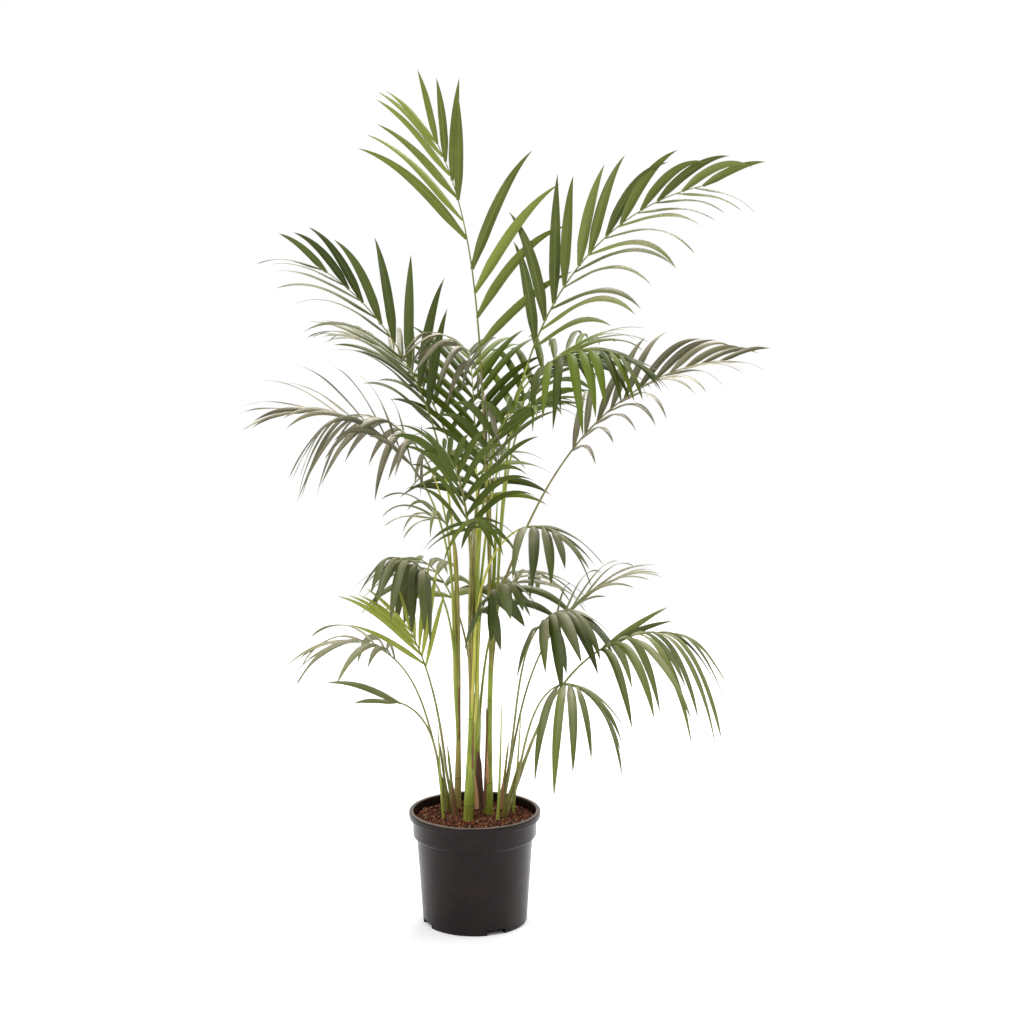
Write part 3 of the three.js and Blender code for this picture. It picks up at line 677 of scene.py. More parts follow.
@dataclass(frozen=True)
class NurseryPot:
    """A black moulded nursery pot: tapered body, taller collar, rolled lip, notched foot."""

    height: float = 207.0
    base_r: float = 95.0
    waist_r: float = 106.0
    collar_r: float = 112.5
    rim_r: float = 120.0
    collar_low_z: float = 160.0
    lip_low_z: float = 193.0
    ledge_drop: float = 2.0
    ledge_rise: float = 1.0
    collar_flare: float = 0.8
    lip_slope: float = 1.5
    mouth_flare: float = 1.5
    mouth_drop: float = 4.0
    rounded: tuple[float, ...] = (2.5, 2.0, 2.5, 1.5, 2.0, 3.2, 2.5, 3.0, 2.0, 2.0, 3.0)
    foot_ring: float = 12.0
    wall: float = 2.2
    floor: float = 2.4
    step_rise: float = 5.0
    sides: int = 160
    notch_width: float = 36.0
    notch_height: float = 9.0
    notch_depth: float = 18.0
    notch_wall: float = 1.8
    notch_angles: tuple[float, ...] = (-65.0, 25.0, 115.0, 205.0)
    arc_steps: int = 4
    arc_share: float = 0.45
    turned_crease: float = 50.0
    cut_crease: float = 35.0

    def wall_corners(self) -> list[Triple]:
        """Lay out the wall, up the outside from the foot and down the inside to the floor.

        Returns:
            Its corners, each as radius, height and rounding.
        """
        low = self.collar_low_z - self.ledge_drop
        inner = self.collar_r - self.wall
        corners = [
            (self.base_r, 0),
            (self.waist_r, low),
            (self.collar_r, self.collar_low_z + self.ledge_rise),
            (self.collar_r + self.collar_flare, self.lip_low_z),
            (self.rim_r, self.lip_low_z + self.lip_slope),
            (self.rim_r, self.height),
            (inner + self.mouth_flare, self.height),
            (inner, self.lip_low_z - self.mouth_drop),
            (inner, self.collar_low_z + self.step_rise),
            (self.waist_r - self.wall, low),
            (self.base_r - self.wall, self.floor),
        ]
        return [(r, z, rounded) for (r, z), rounded in zip(corners, self.rounded)]

    def wall_line(self) -> list[Span]:
        """Round the wall's corners.

        Returns:
            The wall's line, each point as radius and height.
        """
        foot_r = self.base_r - self.foot_ring
        corners = [(foot_r, 0.0, 0.0), *self.wall_corners(), (foot_r - self.wall, self.floor, 0.0)]
        line: list[Span] = [corners[0][:2]]
        for before, here, after in zip(corners, corners[1:], corners[2:]):
            spot = Vector(here[:2])
            back, on = Vector(before[:2]) - spot, Vector(after[:2]) - spot
            start = spot + back.normalized() * min(here[2], back.length * self.arc_share)
            end = spot + on.normalized() * min(here[2], on.length * self.arc_share)
            for i in range(self.arc_steps + 1):
                t = i / self.arc_steps
                line.append(tuple(start.lerp(spot, t).lerp(spot.lerp(end, t), t)))
        line.append(corners[-1][:2])
        return line

    def block(self, angle: float, grow: float, reach: float) -> Piece:
        """Make a block that reaches in over one notch from the foot.

        Args:
            angle: the notch's direction from straight ahead.
            grow: how much larger it is than the notch.
            reach: its outer end's distance from the pot's axis.

        Returns:
            The block.
        """
        out = plan(angle - 90)
        side = Vector((-out.y, out.x, 0))
        half = self.notch_width / 2 + grow
        near = self.base_r - self.notch_depth - grow
        low = self.floor / 2 if grow else -self.notch_depth
        draft = Draft(POT_BLACK)
        draft.loft([
            [out * r + side * w + UP * z
             for r, w in ((near, -half), (reach, -half), (reach, half), (near, half))]
            for z in (low, self.notch_height + grow)
        ])
        return draft.piece(f"notch_block_{int(grow * 10)}_{int(angle)}", "pot_plastic")

    def build(self) -> None:
        """Turn the wall, add the notches' pockets and cut the notches."""
        draft = Draft(POT_BLACK)
        draft.loft([
            [plan(360 * k / self.sides) * r + UP * z for k in range(self.sides)]
            for r, z in self.wall_line()
        ])
        shell = draft.piece("pot_shell", "pot_plastic", ["pot"], crease=self.turned_crease)
        for grow, reach, way in ((self.notch_wall, self.base_r - self.wall / 2, "UNION"),
                                 (0, self.rim_r, "DIFFERENCE")):
            for angle in self.notch_angles:
                self.combine(shell, self.block(angle, grow, reach), way)
        shell.data.set_sharp_from_angle(angle=math.radians(self.cut_crease))

    @staticmethod
    def combine(shell: Piece, tool: Piece, way: str) -> None:
        """Join a block to the shell or cut it away, then drop the block.

        Args:
            shell: the pot's wall.
            tool: the block.
            way: UNION or DIFFERENCE.
        """
        cut = shell.modifiers.new("notch", "BOOLEAN")
        cut.object, cut.operation, cut.solver = tool, way, "EXACT"
        view = bpy.context.evaluated_depsgraph_get()
        made = bpy.data.meshes.new_from_object(shell.evaluated_get(view))
        shell.modifiers.remove(cut)
        shell.data = made
        bpy.data.objects.remove(tool)


@dataclass(frozen=True)
class StemShape:
    """The centre line and girth of a cane, shoot or rolled leaf."""

    foot: Span
    height: float
    lean: Span
    azimuth: float
    radii: Span
    spear: float
    rings: tuple[float, ...] = ()
    waist: float = 0.66
    waist_at: float = 160.0
    soil_z: float = 187.0
    sink: float = 12.0
    butt_swell: float = 1.06
    butt_rise: float = 22.0
    spear_tip_r: float = 0.8
    steps: int = 24

    def at(self, s: float) -> tuple[Vector, Vector, float]:
        """Follow the stem's middle line.

        Args:
            s: the length above the mix.

        Returns:
            The point, the direction and the radius there.
        """
        out = plan(self.azimuth)
        point = Vector((*self.foot, self.soil_z))
        way = leaning(out, self.lean[0])
        for i in range(self.steps):
            u = (i + 0.5) * s / self.steps / self.height
            way = leaning(out, mix(self.lean[0], self.lean[1], u))
            point += way * (s / self.steps)
        return point, way, self.radius(s)

    def radius(self, s: float) -> float:
        """Work out the girth that holds the stem and its stalks.

        Args:
            s: the length above the mix.

        Returns:
            The radius there.
        """
        foot, top = self.radii
        if s > self.height:
            return mix(top, self.spear_tip_r, (s - self.height) / self.spear)
        butt = 1 + (self.butt_swell - 1) * max(0.0, 1 - max(0.0, s) / self.butt_rise)
        return mix(foot, top, max(0.0, s) / self.height) * butt

    def skin_radius(self, s: float) -> float:
        """Return the radius at length s of the stem alone, without the stalks at its sides."""
        return self.radius(s) * mix(1.0, self.waist, smooth((s - self.butt_rise) / self.waist_at))

    @property
    def top(self) -> float:
        """Return the length up to the tip."""
        return self.height + self.spear

    def ring(self, s: float, radii: Sequence[float]) -> list[Vector]:
        """Return points round the stem at length s, the first on the side that it leans to."""
        point, way, _ = self.at(s)
        beside = UP.cross(plan(self.azimuth))
        return ring_round(point, beside.cross(way).normalized(), beside, radii)


@dataclass(frozen=True)
class Stem:
    """A cane or shoot with its skin's relief: ring scars, ribs and a slow wander."""

    name: str
    shape: StemShape
    skin: Finish
    slot: str
    seed: int
    sides: int = 30
    step: float = 4.0
    ring_proud: float = 0.4
    ring_half: float = 1.2
    ring_sections: tuple[float, ...] = (-1, -0.6, -0.2, 0.2, 0.6, 1)
    ring_cork: float = 0.7
    rib_proud: float = 0.18
    ribs: int = 13
    wander: float = 0.35
    wander_mm: float = 45.0
    even_r: float = 4.0

    def heights(self) -> list[float]:
        """Space the sections, closer at each ring scar.

        Returns:
            Their heights above the mix.
        """
        low, top = -self.shape.sink, self.shape.top
        count = math.ceil((top - low) / self.step)
        heights = {mix(low, top, i / count) for i in range(count)}
        for ring in self.shape.rings:
            heights.update(ring + self.ring_half * share for share in self.ring_sections)
        return sorted(heights)

    def proud(self, s: float) -> float:
        """Return how far the nearest ring scar stands out at height s."""
        return sum(self.ring_proud * smooth(1 - abs(s - ring) / self.ring_half)
                   for ring in self.shape.rings)

    def relief(self, s: float, k: int) -> float:
        """Work out the skin's own unevenness: fine upright ribs and a slow wander.

        Args:
            s: the length above the mix.
            k: the number of the side.

        Returns:
            How far the skin stands out.
        """
        turn = math.tau * k / self.sides
        wander = noise.noise(Vector((self.seed, s / self.wander_mm, turn)))
        ribbed = self.rib_proud * math.sin(self.ribs * turn + wander)
        fade = min(1.0, self.shape.skin_radius(s) / self.even_r)
        return fade * (ribbed + self.wander * wander)

    def build(self) -> None:
        """Loft the stem through its sections."""
        heights = self.heights()
        rings = [
            self.shape.ring(s, [
                self.shape.skin_radius(s) + self.proud(s) + self.relief(s, k)
                for k in range(self.sides)
            ]) for s in heights
        ]
        cork = self.ring_half * self.ring_cork

        def worn(i: int, k: int) -> int:
            """Wear cork on a scar and plain skin elsewhere."""
            return int(any(abs(heights[i] - ring) < cork for ring in self.shape.rings))

        draft = Draft(self.skin, RING_SCAR)
        draft.loft(rings, worn, self.shape.at(self.shape.top)[0])
        draft.piece(f"{self.name}_skin", self.slot, [self.name])


# A crumb has twelve corners, and each of its twenty faces joins three that lie nearer to each
# other than LUMP_SIDE. PLACES_ACROSS go from edge to edge of a strip or blade.
GOLD = (1 + math.sqrt(5)) / 2
LUMP_SIDE = 1.2
LUMP_CORNERS = [
    Vector(c).normalized()
    for a in (-1, 1) for b in (-GOLD, GOLD) for c in ((a, b, 0), (0, a, b), (b, 0, a))
]
LUMP_FACES = [
    face for face in combinations(range(len(LUMP_CORNERS)), 3)
    if all((LUMP_CORNERS[i] - LUMP_CORNERS[j]).length < LUMP_SIDE for i, j in combinations(face, 2))
]
PLACES_ACROSS = (-1, -0.5, 0, 0.5, 1)


@dataclass(frozen=True)
class PottingMix:
    """The mix in the pot: a low crumbly mound, loose crumbs, coir strands and pale grit.

    feet are the stems' feet, each with the radius that it keeps clear.
    """

    feet: Sequence[tuple[Vector, float]]
    soil_z: float = 187.0
    crown: float = 2.5
    settled: float = 1.2
    bank: float = 4.5
    bank_from: float = 0.72
    bed_r: float = 109.6
    bed_depth: float = 26.0
    bed_taper: float = 0.24
    bed_rings: int = 44
    bed_sides: int = 120
    lump: float = 2.6
    lump_mm: float = 14.0
    lump_rough: float = 0.8
    lump_finer: float = 2.1
    lump_layers: int = 4
    edge: float = 1.0
    crumbs: int = 7000
    crumb_r: Span = (0.6, 2.9)
    crumb_fines: float = 3.0
    crumb_dull: float = 1.3
    crumb_lie: Span = (-0.1, 0.6)
    crumb_ragged: Span = (0.72, 1.2)
    crumb_deep: Span = (0.6, 1.0)
    crumb_flat: Span = (0.45, 0.9)
    grits: int = 90
    grit_r: Span = (0.7, 1.7)
    strands: int = 260
    strand_length: Span = (6.0, 22.0)
    strand_lie: Span = (1.0, 2.6)
    strand_curl: Span = (-70.0, 70.0)
    strand_r: Span = (0.2, 0.45)
    strand_rise: Span = (-0.1, 0.25)
    strand_taper: float = 0.12
    strand_steps: int = 5
    crease: float = 180.0
    seed: int = 81

    def surface(self, x: float, y: float) -> float:
        """Work out the height of the mix's surface.

        Args:
            x: the place to the right.
            y: the place away from the front.

        Returns:
            The height there.
        """
        share = min(1.0, math.hypot(x, y) / self.bed_r)
        lumps = noise.fractal(
            Vector((x, y, 0)) / self.lump_mm, self.lump_rough, self.lump_finer, self.lump_layers
        )
        banked = self.bank * smooth((share - self.bank_from) / (1 - self.bank_from))
        mound = self.crown * (1 - share ** 2) + banked - self.settled
        return self.soil_z + mound + self.lump * lumps

    def bed(self) -> None:
        """Make the lumpy mound, closed below like the plug of mix it is."""
        def ring(r: float, z: float | None = None) -> list[Vector]:
            """Return one circle of points, on the surface unless z is given."""
            spots = [plan(360 * k / self.bed_sides) * r for k in range(self.bed_sides)]
            return [Vector((p.x, p.y, self.surface(p.x, p.y) if z is None else z)) for p in spots]

        draft = Draft(MIX_BED)
        draft.loft([
            ring(self.bed_r - self.bed_depth * self.bed_taper, self.soil_z - self.bed_depth),
            *(ring(self.bed_r * (1 - i / self.bed_rings)) for i in range(self.bed_rings)),
        ], tip=Vector((0, 0, self.surface(0, 0))))
        draft.piece("mix_bed", "potting_mix", ["soil"], crease=self.crease)

    def lump_of(self, draft: Draft, spot: Vector, size: float, worn: int, draw: Draws) -> None:
        """Add one crumb: a jittered twenty-faced lump, turned at random.

        Args:
            draft: the piece that takes it.
            spot: its middle.
            size: its mean radius.
            worn: the number of its finish.
            draw: the run of numbers that shapes it.
        """
        turn = Quaternion((draw() - 0.5, draw() - 0.5, draw() - 0.5), draw.between(0, math.tau))
        squash = Vector((1, draw.between(*self.crumb_deep), draw.between(*self.crumb_flat)))
        first = len(draft.points)
        for corner in LUMP_CORNERS:
            p = Vector(corner) * squash * (size * draw.between(*self.crumb_ragged))
            draft.points.append(spot + turn @ p)
        for a, b, c in LUMP_FACES:
            draft.face((first + a, first + b, first + c), worn, [(0, 0)] * 3)

    def scatter(self, draw: Draws) -> Vector:
        """Draw a place on the surface, clear of the stems' feet.

        Args:
            draw: the run of numbers.

        Returns:
            The place.
        """
        while True:
            r, a = (self.bed_r - self.edge) * math.sqrt(draw()), draw() * 360
            p = plan(a) * r
            if all((p - foot).length > radius for foot, radius in self.feet):
                return Vector((p.x, p.y, self.surface(p.x, p.y)))

    def crumb_pieces(self) -> None:
        """Scatter the crumbs, of three colours, and the pale grit."""
        draw = Draws(self.seed)
        draft = Draft(*CRUMBS)
        for _ in range(self.crumbs):
            size = mix(*self.crumb_r, draw() ** self.crumb_fines)
            spot = self.scatter(draw) + UP * (size * draw.between(*self.crumb_lie))
            kind = min(len(CRUMBS) - 1, int(draw() ** self.crumb_dull * len(CRUMBS)))
            self.lump_of(draft, spot, size, kind, draw)
        draft.piece("mix_crumbs", "potting_mix", crease=self.crease)
        draft = Draft(PALE_GRIT)
        for _ in range(self.grits):
            size = draw.between(*self.grit_r)
            self.lump_of(draft, self.scatter(draw) + UP * size, size, 0, draw)
        draft.piece("mix_grit", "potting_mix", crease=self.crease)

    def strand_piece(self) -> None:
        """Lay short curled coir strands over the crumbs."""
        draw = Draws(self.seed + 1)
        draft = Draft(COIR_STRAND)
        for _ in range(self.strands):
            spot = self.scatter(draw) + UP * draw.between(*self.strand_lie)
            heading, curl = draw() * 360, draw.between(*self.strand_curl)
            length, girth = draw.between(*self.strand_length), draw.between(*self.strand_r)
            rise = draw.between(*self.strand_rise)
            rings = []
            for i in range(self.strand_steps + 1):
                way = plan(heading + curl * i / self.strand_steps)
                side = Vector((-way.y, way.x, 0))
                rings.append(ring_round(spot, side, UP, [girth * (1 - self.strand_taper * i)] * 4))
                bow = rise * (self.strand_steps / 2 - i)
                spot = spot + way * (length / self.strand_steps) + UP * bow
                if math.hypot(spot.x, spot.y) > self.bed_r - self.edge:
                    break
            if len(rings) > 1:
                draft.loft(rings)
        draft.piece("mix_strands", "potting_mix", crease=self.crease)

    def build(self) -> None:
        """Make the bed and everything loose on it."""
        self.bed()
        self.crumb_pieces()
        self.strand_piece()


@dataclass(frozen=True)
class SheathStrip:
    """A strip of dry sheath that has split from a stem and curls off it towards its top."""

    name: str
    stem: str
    azimuth: float
    low: float
    high: float
    width: float
    finish: Finish
    curl: float = 2.5
    clear: float = 0.4
    thick: float = 0.7
    ragged: float = 0.3
    ragged_mm: float = 7.0
    ragged_layer: float = 2.0
    taper: float = 0.75
    taper_power: float = 1.6
    first: float = 0.25
    starts: float = 0.14
    widest: float = 0.9
    steps: int = 24

    def build(self, shape: StemShape) -> None:
        """Lay the strip on the stem's side.

        Args:
            shape: the stem.
        """
        out = plan(self.azimuth)
        side = Vector((-out.y, out.x, 0))
        rings = []
        for i in range(self.steps):
            t = i / self.steps
            s = mix(self.low, self.high, t)
            point, radius = shape.at(s)[0], shape.skin_radius(s)
            tear = noise.noise(Vector((s / self.ragged_mm, self.azimuth, self.ragged_layer)))
            ends = smooth(self.first + t / self.starts) * (1 - self.taper * t ** self.taper_power)
            half = min(radius * self.widest, self.width / 2 * ends * (1 + self.ragged * tear))
            away = radius + self.clear + self.curl * t ** 2
            hug = radius - math.sqrt(radius ** 2 - half ** 2)
            upper = [
                point + out * (away - hug * x * x) + side * (x * half) for x in PLACES_ACROSS
            ]
            rings.append([*upper, *(p - out * self.thick for p in reversed(upper))])
        end = shape.at(self.high)[0] + out * (shape.skin_radius(self.high) + self.curl)
        draft = Draft(self.finish)
        draft.loft(rings, tip=end)
        draft.piece(self.name, "dry_sheath")


@dataclass(frozen=True)
class DeadSheath:
    """The dead leaf sheath between the canes: a creased brown cone, ragged at its top."""

    shape: StemShape
    sides: int = 36
    steps: int = 26
    last_ring: float = 0.97
    creases: int = 7
    crease_deep: float = 0.16
    crease_turn: float = 60.0
    lumpy: float = 0.1
    lump_mm: float = 14.0
    lump_sides: float = 3.0
    lump_layer: float = 4.0

    def build(self) -> None:
        """Loft the cone."""
        rings = []
        for i in range(self.steps + 1):
            s = mix(-self.shape.sink, self.shape.top * self.last_ring, i / self.steps)
            radius = self.shape.radius(s)
            rings.append(self.shape.ring(s, [radius * self.dent(s, k) for k in range(self.sides)]))
        draft = Draft(DEAD_HUSK)
        draft.loft(rings, tip=self.shape.at(self.shape.top)[0])
        draft.piece("dead_sheath_roll", "dry_sheath", ["dead_sheath"])

    def dent(self, s: float, k: int) -> float:
        """Work out what creases and lumps leave of the radius.

        Args:
            s: the height above the mix.
            k: the number of the side.

        Returns:
            The share that is left.
        """
        turn = self.creases * math.tau * k / self.sides + s / self.crease_turn
        crease = self.crease_deep * (0.5 + 0.5 * math.cos(turn))
        lump = noise.noise(Vector((s / self.lump_mm, k / self.lump_sides, self.lump_layer)))
        return 1 - crease + self.lumpy * lump


@dataclass(frozen=True)
class Pose:
    """The way a rib points and faces at one place: along it, out of its face and to its side."""

    along: Vector
    face: Vector
    side: Vector


@dataclass(frozen=True)
class Station:
    """One place on a leaflet's middle line, with the way it points and faces."""

    point: Vector
    way: Vector
    face: Vector


@dataclass(frozen=True)
class Leaflet:
    """One leaflet: where it springs from, how it sets off and how far its own weight bows it.

    A hinge of 0 bows it evenly more towards its tip, and a hinge of 1 bends it near its root.
    """

    root: Vector
    pose: Pose
    hand: int
    beta: float
    lift: float
    reach: float
    width: float
    twist: float
    sag: float
    hinge: float
    even_sag: float = 1.6
    near_sag: float = 45.0
    near_power: float = 6.0

    def course(self, steps: int) -> list[Station]:
        """Follow the middle line as it sets off and bows.

        Args:
            steps: the number of steps from root to tip.

        Returns:
            The stations, with both ends.
        """
        beta, lift = math.radians(self.beta), math.radians(self.lift)
        outward = self.pose.side * (self.hand * math.cos(lift)) + self.pose.face * math.sin(lift)
        way = (self.pose.along * math.cos(beta) + outward * math.sin(beta)).normalized()
        face = (self.pose.face - way * self.pose.face.dot(way)).normalized()
        face.rotate(Quaternion(way, math.radians(self.twist)))
        stations = [Station(self.root.copy(), way.copy(), face.copy())]
        for j in range(steps):
            u = (j + 0.5) / steps
            fold = self.near_sag * u * (1 - u) ** self.near_power
            pull = mix(self.even_sag * u, fold, self.hinge) / steps
            onward = (way - UP * (self.sag * pull)).normalized()
            face.rotate(way.rotation_difference(onward))
            way = onward
            point = stations[-1].point + way * (self.reach / steps)
            stations.append(Station(point, way.copy(), face.copy()))
        return stations


@dataclass(frozen=True)
class Blade:
    """How a leaflet's thin folded blade is drawn.

    Its thickness and wave are in millimetres, and its sweep to a side and drop are shares of
    its length. A few blades, the share dry, end in a dry tip.
    """

    steps: int = 16
    thick: float = 0.55
    root_thick: float = 1.6
    fold: Span = (0.5, 0.12)
    fold_opens: float = 1.4
    fold_power: float = 1.3
    wave: Span = (0.2, 0.7)
    wave_turn: float = 9.0
    sweep: float = 0.12
    drop: Span = (0.01, 0.07)
    dry: float = 0.3
    root_width: float = 0.35
    widens: float = 3.0
    narrows_from: float = 0.42
    narrow_power: float = 1.8

    def share(self, u: float) -> float:
        """Return the half width at share u of the length, of its greatest."""
        past = max(0.0, (u - self.narrows_from) / (1 - self.narrows_from))
        return min(1.0, self.root_width + u * self.widens) * (1 - past ** self.narrow_power)

    def add(self, draft: Draft, leaflet: Leaflet, draw: Draws) -> None:
        """Add one leaflet: a thin closed blade, folded along its midrib, with a slight wave.

        Args:
            draft: the piece that takes it; its finishes are the upper shades, the underside
                and the dry tip.
            leaflet: where and how it grows.
            draw: the run of numbers for its shade, wave and tip.
        """
        dry_tip, below = len(draft.finishes) - 1, len(draft.finishes) - 2
        shade = int(draw() * below)
        stations = leaflet.course(self.steps)
        phase, wave = draw() * math.tau, draw.between(*self.wave)
        sweep = leaflet.reach * draw.about(self.sweep)
        drop = leaflet.reach * draw.between(*self.drop)
        dry_from = self.steps - (1 if draw() < self.dry else 0)
        rings = []
        for j, spot in enumerate(stations[:-1]):
            u = j / self.steps
            half = leaflet.width / 2 * self.share(u)
            across = spot.way.cross(spot.face)
            middle = spot.point + across * (sweep * u ** 2) - UP * (drop * u ** 3)
            fold = mix(*self.fold, smooth(u * self.fold_opens))
            ripple = wave * math.sin(phase + u * self.wave_turn)
            lift = {x: middle + across * (x * half)
                    + spot.face * (ripple * abs(x) * x - fold * half * abs(x) ** self.fold_power)
                    for x in PLACES_ACROSS}
            thick = spot.face * (self.thick / 2 * (self.root_thick - u))
            upper = [lift[x] + thick * (1 - abs(x)) for x in PLACES_ACROSS]
            under = [lift[x] - thick * (1 - abs(x)) for x in PLACES_ACROSS[-2:0:-1]]
            rings.append([*upper, *under])
        upper_faces = len(PLACES_ACROSS) - 1

        def worn(i: int, k: int) -> int:
            """Wear the shade above, the underside's finish below and a dry tip at some ends."""
            return dry_tip if i >= dry_from else shade if k < upper_faces else below

        last = stations[-1]
        end = last.point + last.way.cross(last.face) * sweep - UP * drop
        marks = [(x + 1) / 2 for x in PLACES_ACROSS]
        draft.loft(rings, worn, end, marks + marks[-2::-1])


BLADE = Blade()


@dataclass(frozen=True)
class Frond:
    """An arching feather frond: a bare stalk, a rachis and its leaflets side by side.

    lean is from upright at both ends, seat the side of the stem that the stalk starts on, and
    roll turns the blade about the rachis. leaf is the longest leaflet's length and width. turn
    twists the leaflets of either side about their own length, hinge moves their bend from all
    along towards the root, crowd draws their places towards the rachis's tip, and bare is the
    stretch of rachis where a side has lost them. channels are how deep the rib's channel is in
    the sheath, on the stalk and on the rachis.
    """

    name: str
    stem: str
    at: float
    azimuth: float
    petiole: float
    rachis: float
    lean: Span
    pairs: int
    leaf: Span
    tone: LeafTone
    seed: int
    seat: float | None = None
    bend: float = 1.8
    roll: float = 0.0
    skew: float = 0.0
    lift: float = 12.0
    droop: float = 1.4
    spread: Span = (56.0, 21.0)
    fullest: float = 0.4
    crowd: float = 1.0
    turn: Span = (0.0, 0.0)
    hinge: float = 0.0
    bare: tuple[Span, Span] = ((0.0, 0.0), (0.0, 0.0))
    pair_places: Span = (0.5, 0.75)
    place_jitter: float = 0.275
    spread_jitter: float = 8.0
    lift_jitter: float = 14.0
    twist_jitter: float = 30.0
    length_range: Span = (0.92, 1.08)
    sag_range: Span = (0.7, 1.3)
    sag_length: float = 200.0
    width_power: float = 0.6
    root_short: float = 0.3
    tip_short: float = 0.5
    tip_power: float = 1.4
    gap: float = 0.3
    foot_reach: float = 2.8
    foot_share: float = 0.6
    rachis_r: float = 1.75
    tip_r: float = 0.8
    thinning: float = 1.1
    line_steps: int = 60
    rib_sides: int = 10
    channels: Triple = (0.1, 0.35, 0.2)
    sheath: float = 165.0
    sheath_steps: int = 14
    sheath_sink: float = 4.0
    sheath_swell: float = 1.15
    sheath_deep: float = 1.2
    last_root: float = 0.985
    split_lean: float = 110.0
    blade_run: int = 500
    rib_crease: float = 60.0
    leaf_crease: float = 75.0

    @property
    def length(self) -> float:
        """Return the length of the stalk and rachis."""
        return self.petiole + self.rachis

    def facing(self, u: float) -> Pose:
        """Work out how the rib points and faces.

        Args:
            u: the share of its length.

        Returns:
            Its pose there.
        """
        out = plan(self.azimuth)
        lean = mix(self.lean[0], self.lean[1], u ** self.bend)
        along = leaning(out, lean)
        flat = UP * math.sin(math.radians(lean)) - out * math.cos(math.radians(lean))
        edge = along.cross(flat)
        turn = math.radians(self.roll)
        return Pose(along, flat * math.cos(turn) + edge * math.sin(turn),
                    edge * math.cos(turn) - flat * math.sin(turn))

    def outward(self, way: Vector) -> Vector:
        """Return the direction square to the stem's way that the stalk starts on."""
        seat = plan(self.azimuth if self.seat is None else self.seat)
        return (seat - way * seat.dot(way)).normalized()

    @property
    def shape(self) -> StemShape:
        """Return the stem that it grows from."""
        return STEMS[self.stem]

    @cached_property
    def line(self) -> list[Vector]:
        """Follow the rib's middle line in even steps.

        Returns:
            The points, from its foot on the stem.
        """
        point, way, radius = self.shape.at(self.at)
        points = [point + self.outward(way) * (radius + self.gap + self.foot_reach)]
        for i in range(self.line_steps):
            along = self.facing((i + 0.5) / self.line_steps).along
            points.append(points[-1] + along * (self.length / self.line_steps))
        return points

    def place(self, u: float) -> Vector:
        """Return the point at share u of the rib's line."""
        x = min(u, 1.0) * self.line_steps
        i = min(int(x), self.line_steps - 1)
        return self.line[i].lerp(self.line[i + 1], x - i)

    def rib_r(self, s: float, foot_r: float) -> float:
        """Thin the rib: a stout foot that thins fast, then a fine rachis.

        Args:
            s: the length from its foot.
            foot_r: its radius at the foot.

        Returns:
            Its radius there.
        """
        if s < self.petiole:
            return mix(foot_r, self.rachis_r, (s / self.petiole) ** self.thinning)
        return mix(self.rachis_r, self.tip_r, (s - self.petiole) / self.rachis)

    def section(self, centre: Vector, pose: Pose, radius: float, channel: float) -> list[Vector]:
        """Return the rib's outline: round, with a channel of a share of its radius in its face."""
        count = self.rib_sides
        return ring_round(centre, pose.face, pose.side, [
            radius * (1 - channel * max(0.0, math.cos(math.tau * k / count)) ** 3)
            for k in range(count)
        ])

    def rib(self) -> None:
        """Loft the rib from inside its sheath on the stem up to the last leaflets."""
        foot_r = min(self.foot_reach, self.foot_share * self.shape.radius(self.at) + self.gap)
        in_sheath, on_stalk, on_rachis = self.channels
        rings = []
        for i in range(self.sheath_steps):
            t = i / self.sheath_steps
            below = min(self.sheath, self.at + self.sheath_sink) * (1 - t)
            point, way, radius = self.shape.at(self.at - below)
            off = self.outward(way)
            inside = self.shape.skin_radius(self.at - below) - self.sheath_deep * foot_r
            away = mix(inside, radius + self.gap + self.foot_reach, smooth(t))
            pose = Pose(way, -off, way.cross(-off))
            swollen = foot_r * mix(self.sheath_swell, 1.0, t)
            rings.append(self.section(point + off * away, pose, swollen, in_sheath))
        for i, point in enumerate(self.line):
            u = i / self.line_steps
            s = u * self.length
            channel = on_stalk if s < self.petiole else on_rachis
            rings.append(self.section(point, self.facing(u), self.rib_r(s, foot_r), channel))
        stalk_rings = self.sheath_steps + int(self.line_steps * self.petiole / self.length)
        outer = self.stem.startswith("shoot")
        skin = STALK_OLIVE if outer else STALK_SKINS[(self.seed // 2 + 1) % len(STALK_SKINS)]
        draft = Draft(skin, STALK_TIP)
        draft.loft(rings, lambda i, k: 0 if i < stalk_rings else 1)
        stands_for = [f"frond_{self.name}"]
        if self.lean[1] > self.split_lean:
            stands_for.append(f"stalk_{self.name}")
        draft.piece(f"rib_{self.name}", self.tone.slot, stands_for, self.rib_crease)

    def length_share(self, t: float) -> float:
        """Shorten the leaflets towards both ends of the rachis.

        Args:
            t: the share of the rachis.

        Returns:
            The length of the leaflets there, of the longest.
        """
        if t < self.fullest:
            return 1 - self.root_short * (1 - t / self.fullest) ** 2
        past = (t - self.fullest) / (1 - self.fullest)
        return 1 - self.tip_short * past ** self.tip_power

